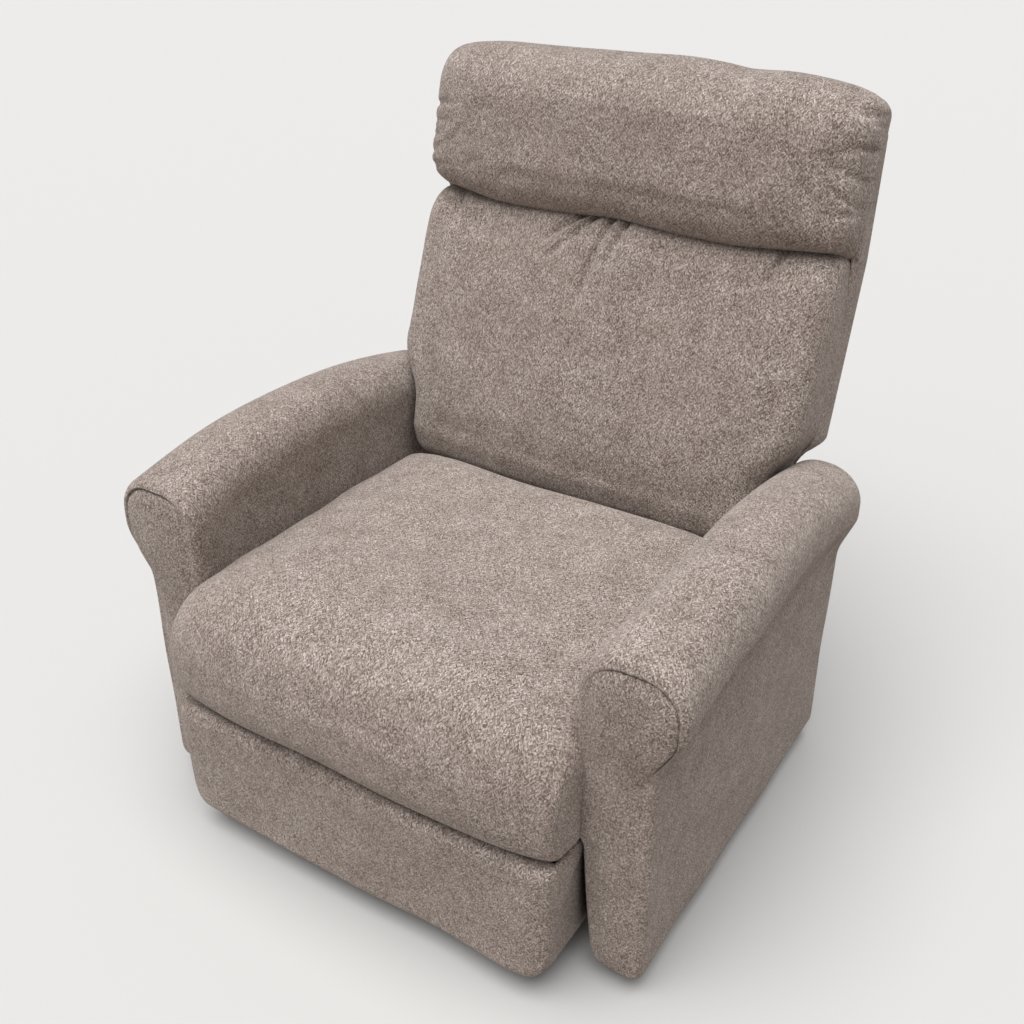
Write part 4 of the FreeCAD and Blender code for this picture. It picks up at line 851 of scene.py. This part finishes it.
def footrest_cover():
    """Footrest pad: a soft front face that turns over all its edges, wrapped round the board and run
    back at both sides as flaps. Its lower corners follow a quarter circle."""
    low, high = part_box("footrest_pad")
    board_low, board_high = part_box("footrest_board")
    half = high.x + FOOTREST_FULLNESS
    flap = half - FOOTREST_CLOTH
    inner = np.linspace(-flap + FOOTREST_RING_GAP, flap - FOOTREST_RING_GAP, FOOTREST_GRID[0])
    outer = half - FOOTREST_CLOTH * np.cos(np.linspace(0.0, math.pi / 2, FOOTREST_TURN_RINGS))
    rings = []
    for x in np.concatenate([-outer[::-1], inner, outer]):
        into = np.clip((abs(x) - half + FOOTREST_CORNER) / FOOTREST_CORNER, 0.0, 1.0)
        draw = FOOTREST_CORNER * (1 - math.sqrt(1 - into ** 2))
        bottom, top = low.z + draw, high.z + FOOTREST_TOP_RISE - draw * FOOTREST_TOP_DRAW
        bow = FOOTREST_BOW * (abs(x) / half) ** 8
        front = low.y - FOOTREST_FULLNESS + bow + draw * FOOTREST_FRONT_DRAW
        rear, pocket, turn = board_high.y, board_low.y - FOOTREST_BOARD_CLEARANCE, FOOTREST_RADIUS
        if abs(x) > flap - FOOTREST_RING_GAP / 2:
            rear, turn = high.y + FOOTREST_FLAP, FOOTREST_FLAP_RADIUS
            pocket = rear - FOOTREST_FLAP_HEM
        corners = [
            (rear, bottom), (rear, bottom + FOOTREST_LIP), (pocket, bottom + FOOTREST_LIP),
            (pocket, top - FOOTREST_LIP), (rear, top - FOOTREST_LIP), (rear, top), (front, top),
            (front, bottom)]
        hem, seam = FOOTREST_HEM_RADIUS, FOOTREST_POCKET_RADIUS
        radii = (turn, hem, seam, seam, hem, turn, FOOTREST_TOP_RADIUS, FOOTREST_FOOT_RADIUS)
        rings.append(side_ring(x, outline_loop(corners, radii, FOOTREST_GRID[1])))
    piece = pad_from_rings("footrest_cover", np.array(rings))
    points = coordinates(piece)
    facing = smooth_step(-points[:, 1], *FOOTREST_FACE)
    push_along_normals(piece, facing * lumps(points, FOOTREST_LUMPS, seed=41))
    return piece


def boxed_half_width(u):
    """Half width of the back's boxing: the S-curve of the flare, then a slight taper to the top."""
    taper = np.clip((u - BOXING_TAPER_FOOT) / (BOXING_RUN[1] - BOXING_TAPER_FOOT), 0.0, 1.0)
    return back_half_width(u, BOXING_FLARE_FOOT, BOXING_FLARE_RISE) - BOXING_TAPER * taper


def back_boxing(side):
    """Boxed side of the back: a padded strip that follows the flare, its front edge tucked in the
    cushion. Its plan outline is carried up the back."""
    inside, edge, crown, rear = BOXING_DEPTHS
    rings = []
    for u in np.linspace(*BOXING_RUN, BOXING_GRID[0]):
        outer = boxed_half_width(u)
        corners = [
            (outer - BOXING_THICKNESS, inside), (outer - BOXING_TUCK, edge), (outer + BOXING_CROWN, crown),
            (outer, rear), (outer - BOXING_THICKNESS, rear)]
        rings.append(plan_ring(outline_loop(corners, BOXING_RADII, BOXING_GRID[1]) * (side, 1), u))
    return pad_from_rings("back_boxing_l" if side > 0 else "back_boxing_r", leaned(np.array(rings)))


def back_outside():
    """Outside back: a thin padded panel closing the rear of the frame, its outline carried outwards and
    drawn in as it goes."""
    foot, top = BOXING_RUN
    flare = BOXING_FLARE_FOOT + BOXING_FLARE_RISE * np.array([0.0, 0.5, 1.0])
    rings = []
    for w, inset in OUTSIDE_RINGS:
        heights = np.array([foot + inset, *flare, BOXING_TAPER_FOOT, top - inset])
        half = boxed_half_width(heights) - inset
        outline = np.vstack([np.column_stack([half, heights]), np.column_stack([-half, heights])[::-1]])
        loop = outline_loop(outline, OUTSIDE_RADII + OUTSIDE_RADII[::-1], OUTSIDE_POINTS)
        rings.append(np.column_stack([loop[:, 0], np.full(len(loop), w), loop[:, 1]]))
    return pad_from_rings("back_outside", leaned(np.array(rings)))


def finish_cad_nodes(finishes):
    """Every visible CAD node takes the finish of its slot."""
    slots = {entry["node"]: entry["material_slot"] for entry in frame["record"]["subparts"]}
    for name, piece in frame["nodes"].items():
        piece.data.materials.clear()
        piece.data.materials.append(finishes[slots[name]])


# Stage


def pale_floor():
    """Plain pale floor, wide enough to fill the picture."""
    corners = [(x * FLOOR_REACH, y * FLOOR_REACH, 0) for x, y in ((-1, -1), (1, -1), (1, 1), (-1, 1))]
    floor = mesh_object("studio_floor", corners, [(0, 1, 2, 3)])
    f = Finish("pale_floor")
    f.set(Base_Color=f.mix(f.sees_the_set(), rgba(FLOOR_LIT), rgba(FLOOR_SEEN)), Roughness=0.8)
    floor.data.materials.append(f.material)


def soft_lights():
    """Two broad soft lamps, one overhead and one from the front left, in an even white surround that the
    camera, metal and glass see paler."""
    scene = bpy.context.scene
    for name, (energy, dip, heading, breadth) in LAMPS.items():
        data = bpy.data.lights.new(name, "SUN")
        data.energy = energy
        data.angle = math.radians(breadth)
        lamp = bpy.data.objects.new(name, data)
        scene.collection.objects.link(lamp)
        lamp.rotation_euler = (math.radians(dip), 0.0, math.radians(heading))
    world = bpy.data.worlds.new("studio")
    scene.world = world
    world.use_nodes = True
    surround = Nodes(world.node_tree)
    background = surround.tree.nodes["Background"]
    background.inputs["Color"].default_value = (1.0, 1.0, 1.0, 1.0)
    strength = surround.sees_the_set() * SURROUND_SEEN + SURROUND_LIGHT
    feed(surround.tree, background.inputs["Strength"], strength)


def photo_camera():
    data = bpy.data.cameras.new("photo_camera")
    data.sensor_width = SENSOR_MM
    data.sensor_fit = "HORIZONTAL"
    data.lens = SENSOR_MM * LENS_PIXELS / PICTURE_PIXELS
    camera = bpy.data.objects.new("photo_camera", data)
    bpy.context.scene.collection.objects.link(camera)
    camera.location = CAMERA_PLACE
    camera.rotation_euler = (math.radians(90.0 - CAMERA_DIP), 0.0, math.radians(CAMERA_HEADING))
    bpy.context.scene.camera = camera


def build():
    fabric = chenille()
    finishes = {
        "upholstery": fabric, "webbing": elastic_webbing(), "frame_wood": sawn_plywood(),
        "mechanism_steel": coated_steel(), "spring_steel": bright_zinc(), "roller_nylon": moulded_nylon(),
        "black_plastic": black_plastic()}
    finish_cad_nodes(finishes)
    dress(seat_pad(), fabric, "carriage", ["seat_cushion"])
    dress(back_pad(), fabric, "back", ["back_cushion"])
    dress(headrest_pad(), fabric, "back", ["headrest_cushion"])
    dress(footrest_cover(), fabric, "footrest", ["footrest_pad"])
    dress(back_outside(), fabric, "back", ["back_rear_panel"])
    for side, end in ((1, "l"), (-1, "r")):
        dress(arm_cover(side), fabric, "carriage", ["arm_pad_" + end, "arm_facing_" + end])
        dress(back_boxing(side), fabric, "back", ["back_side_panel_" + end])
    pale_floor()
    soft_lights()
    photo_camera()
    bpy.context.scene.view_settings.view_transform = "Standard"


build()
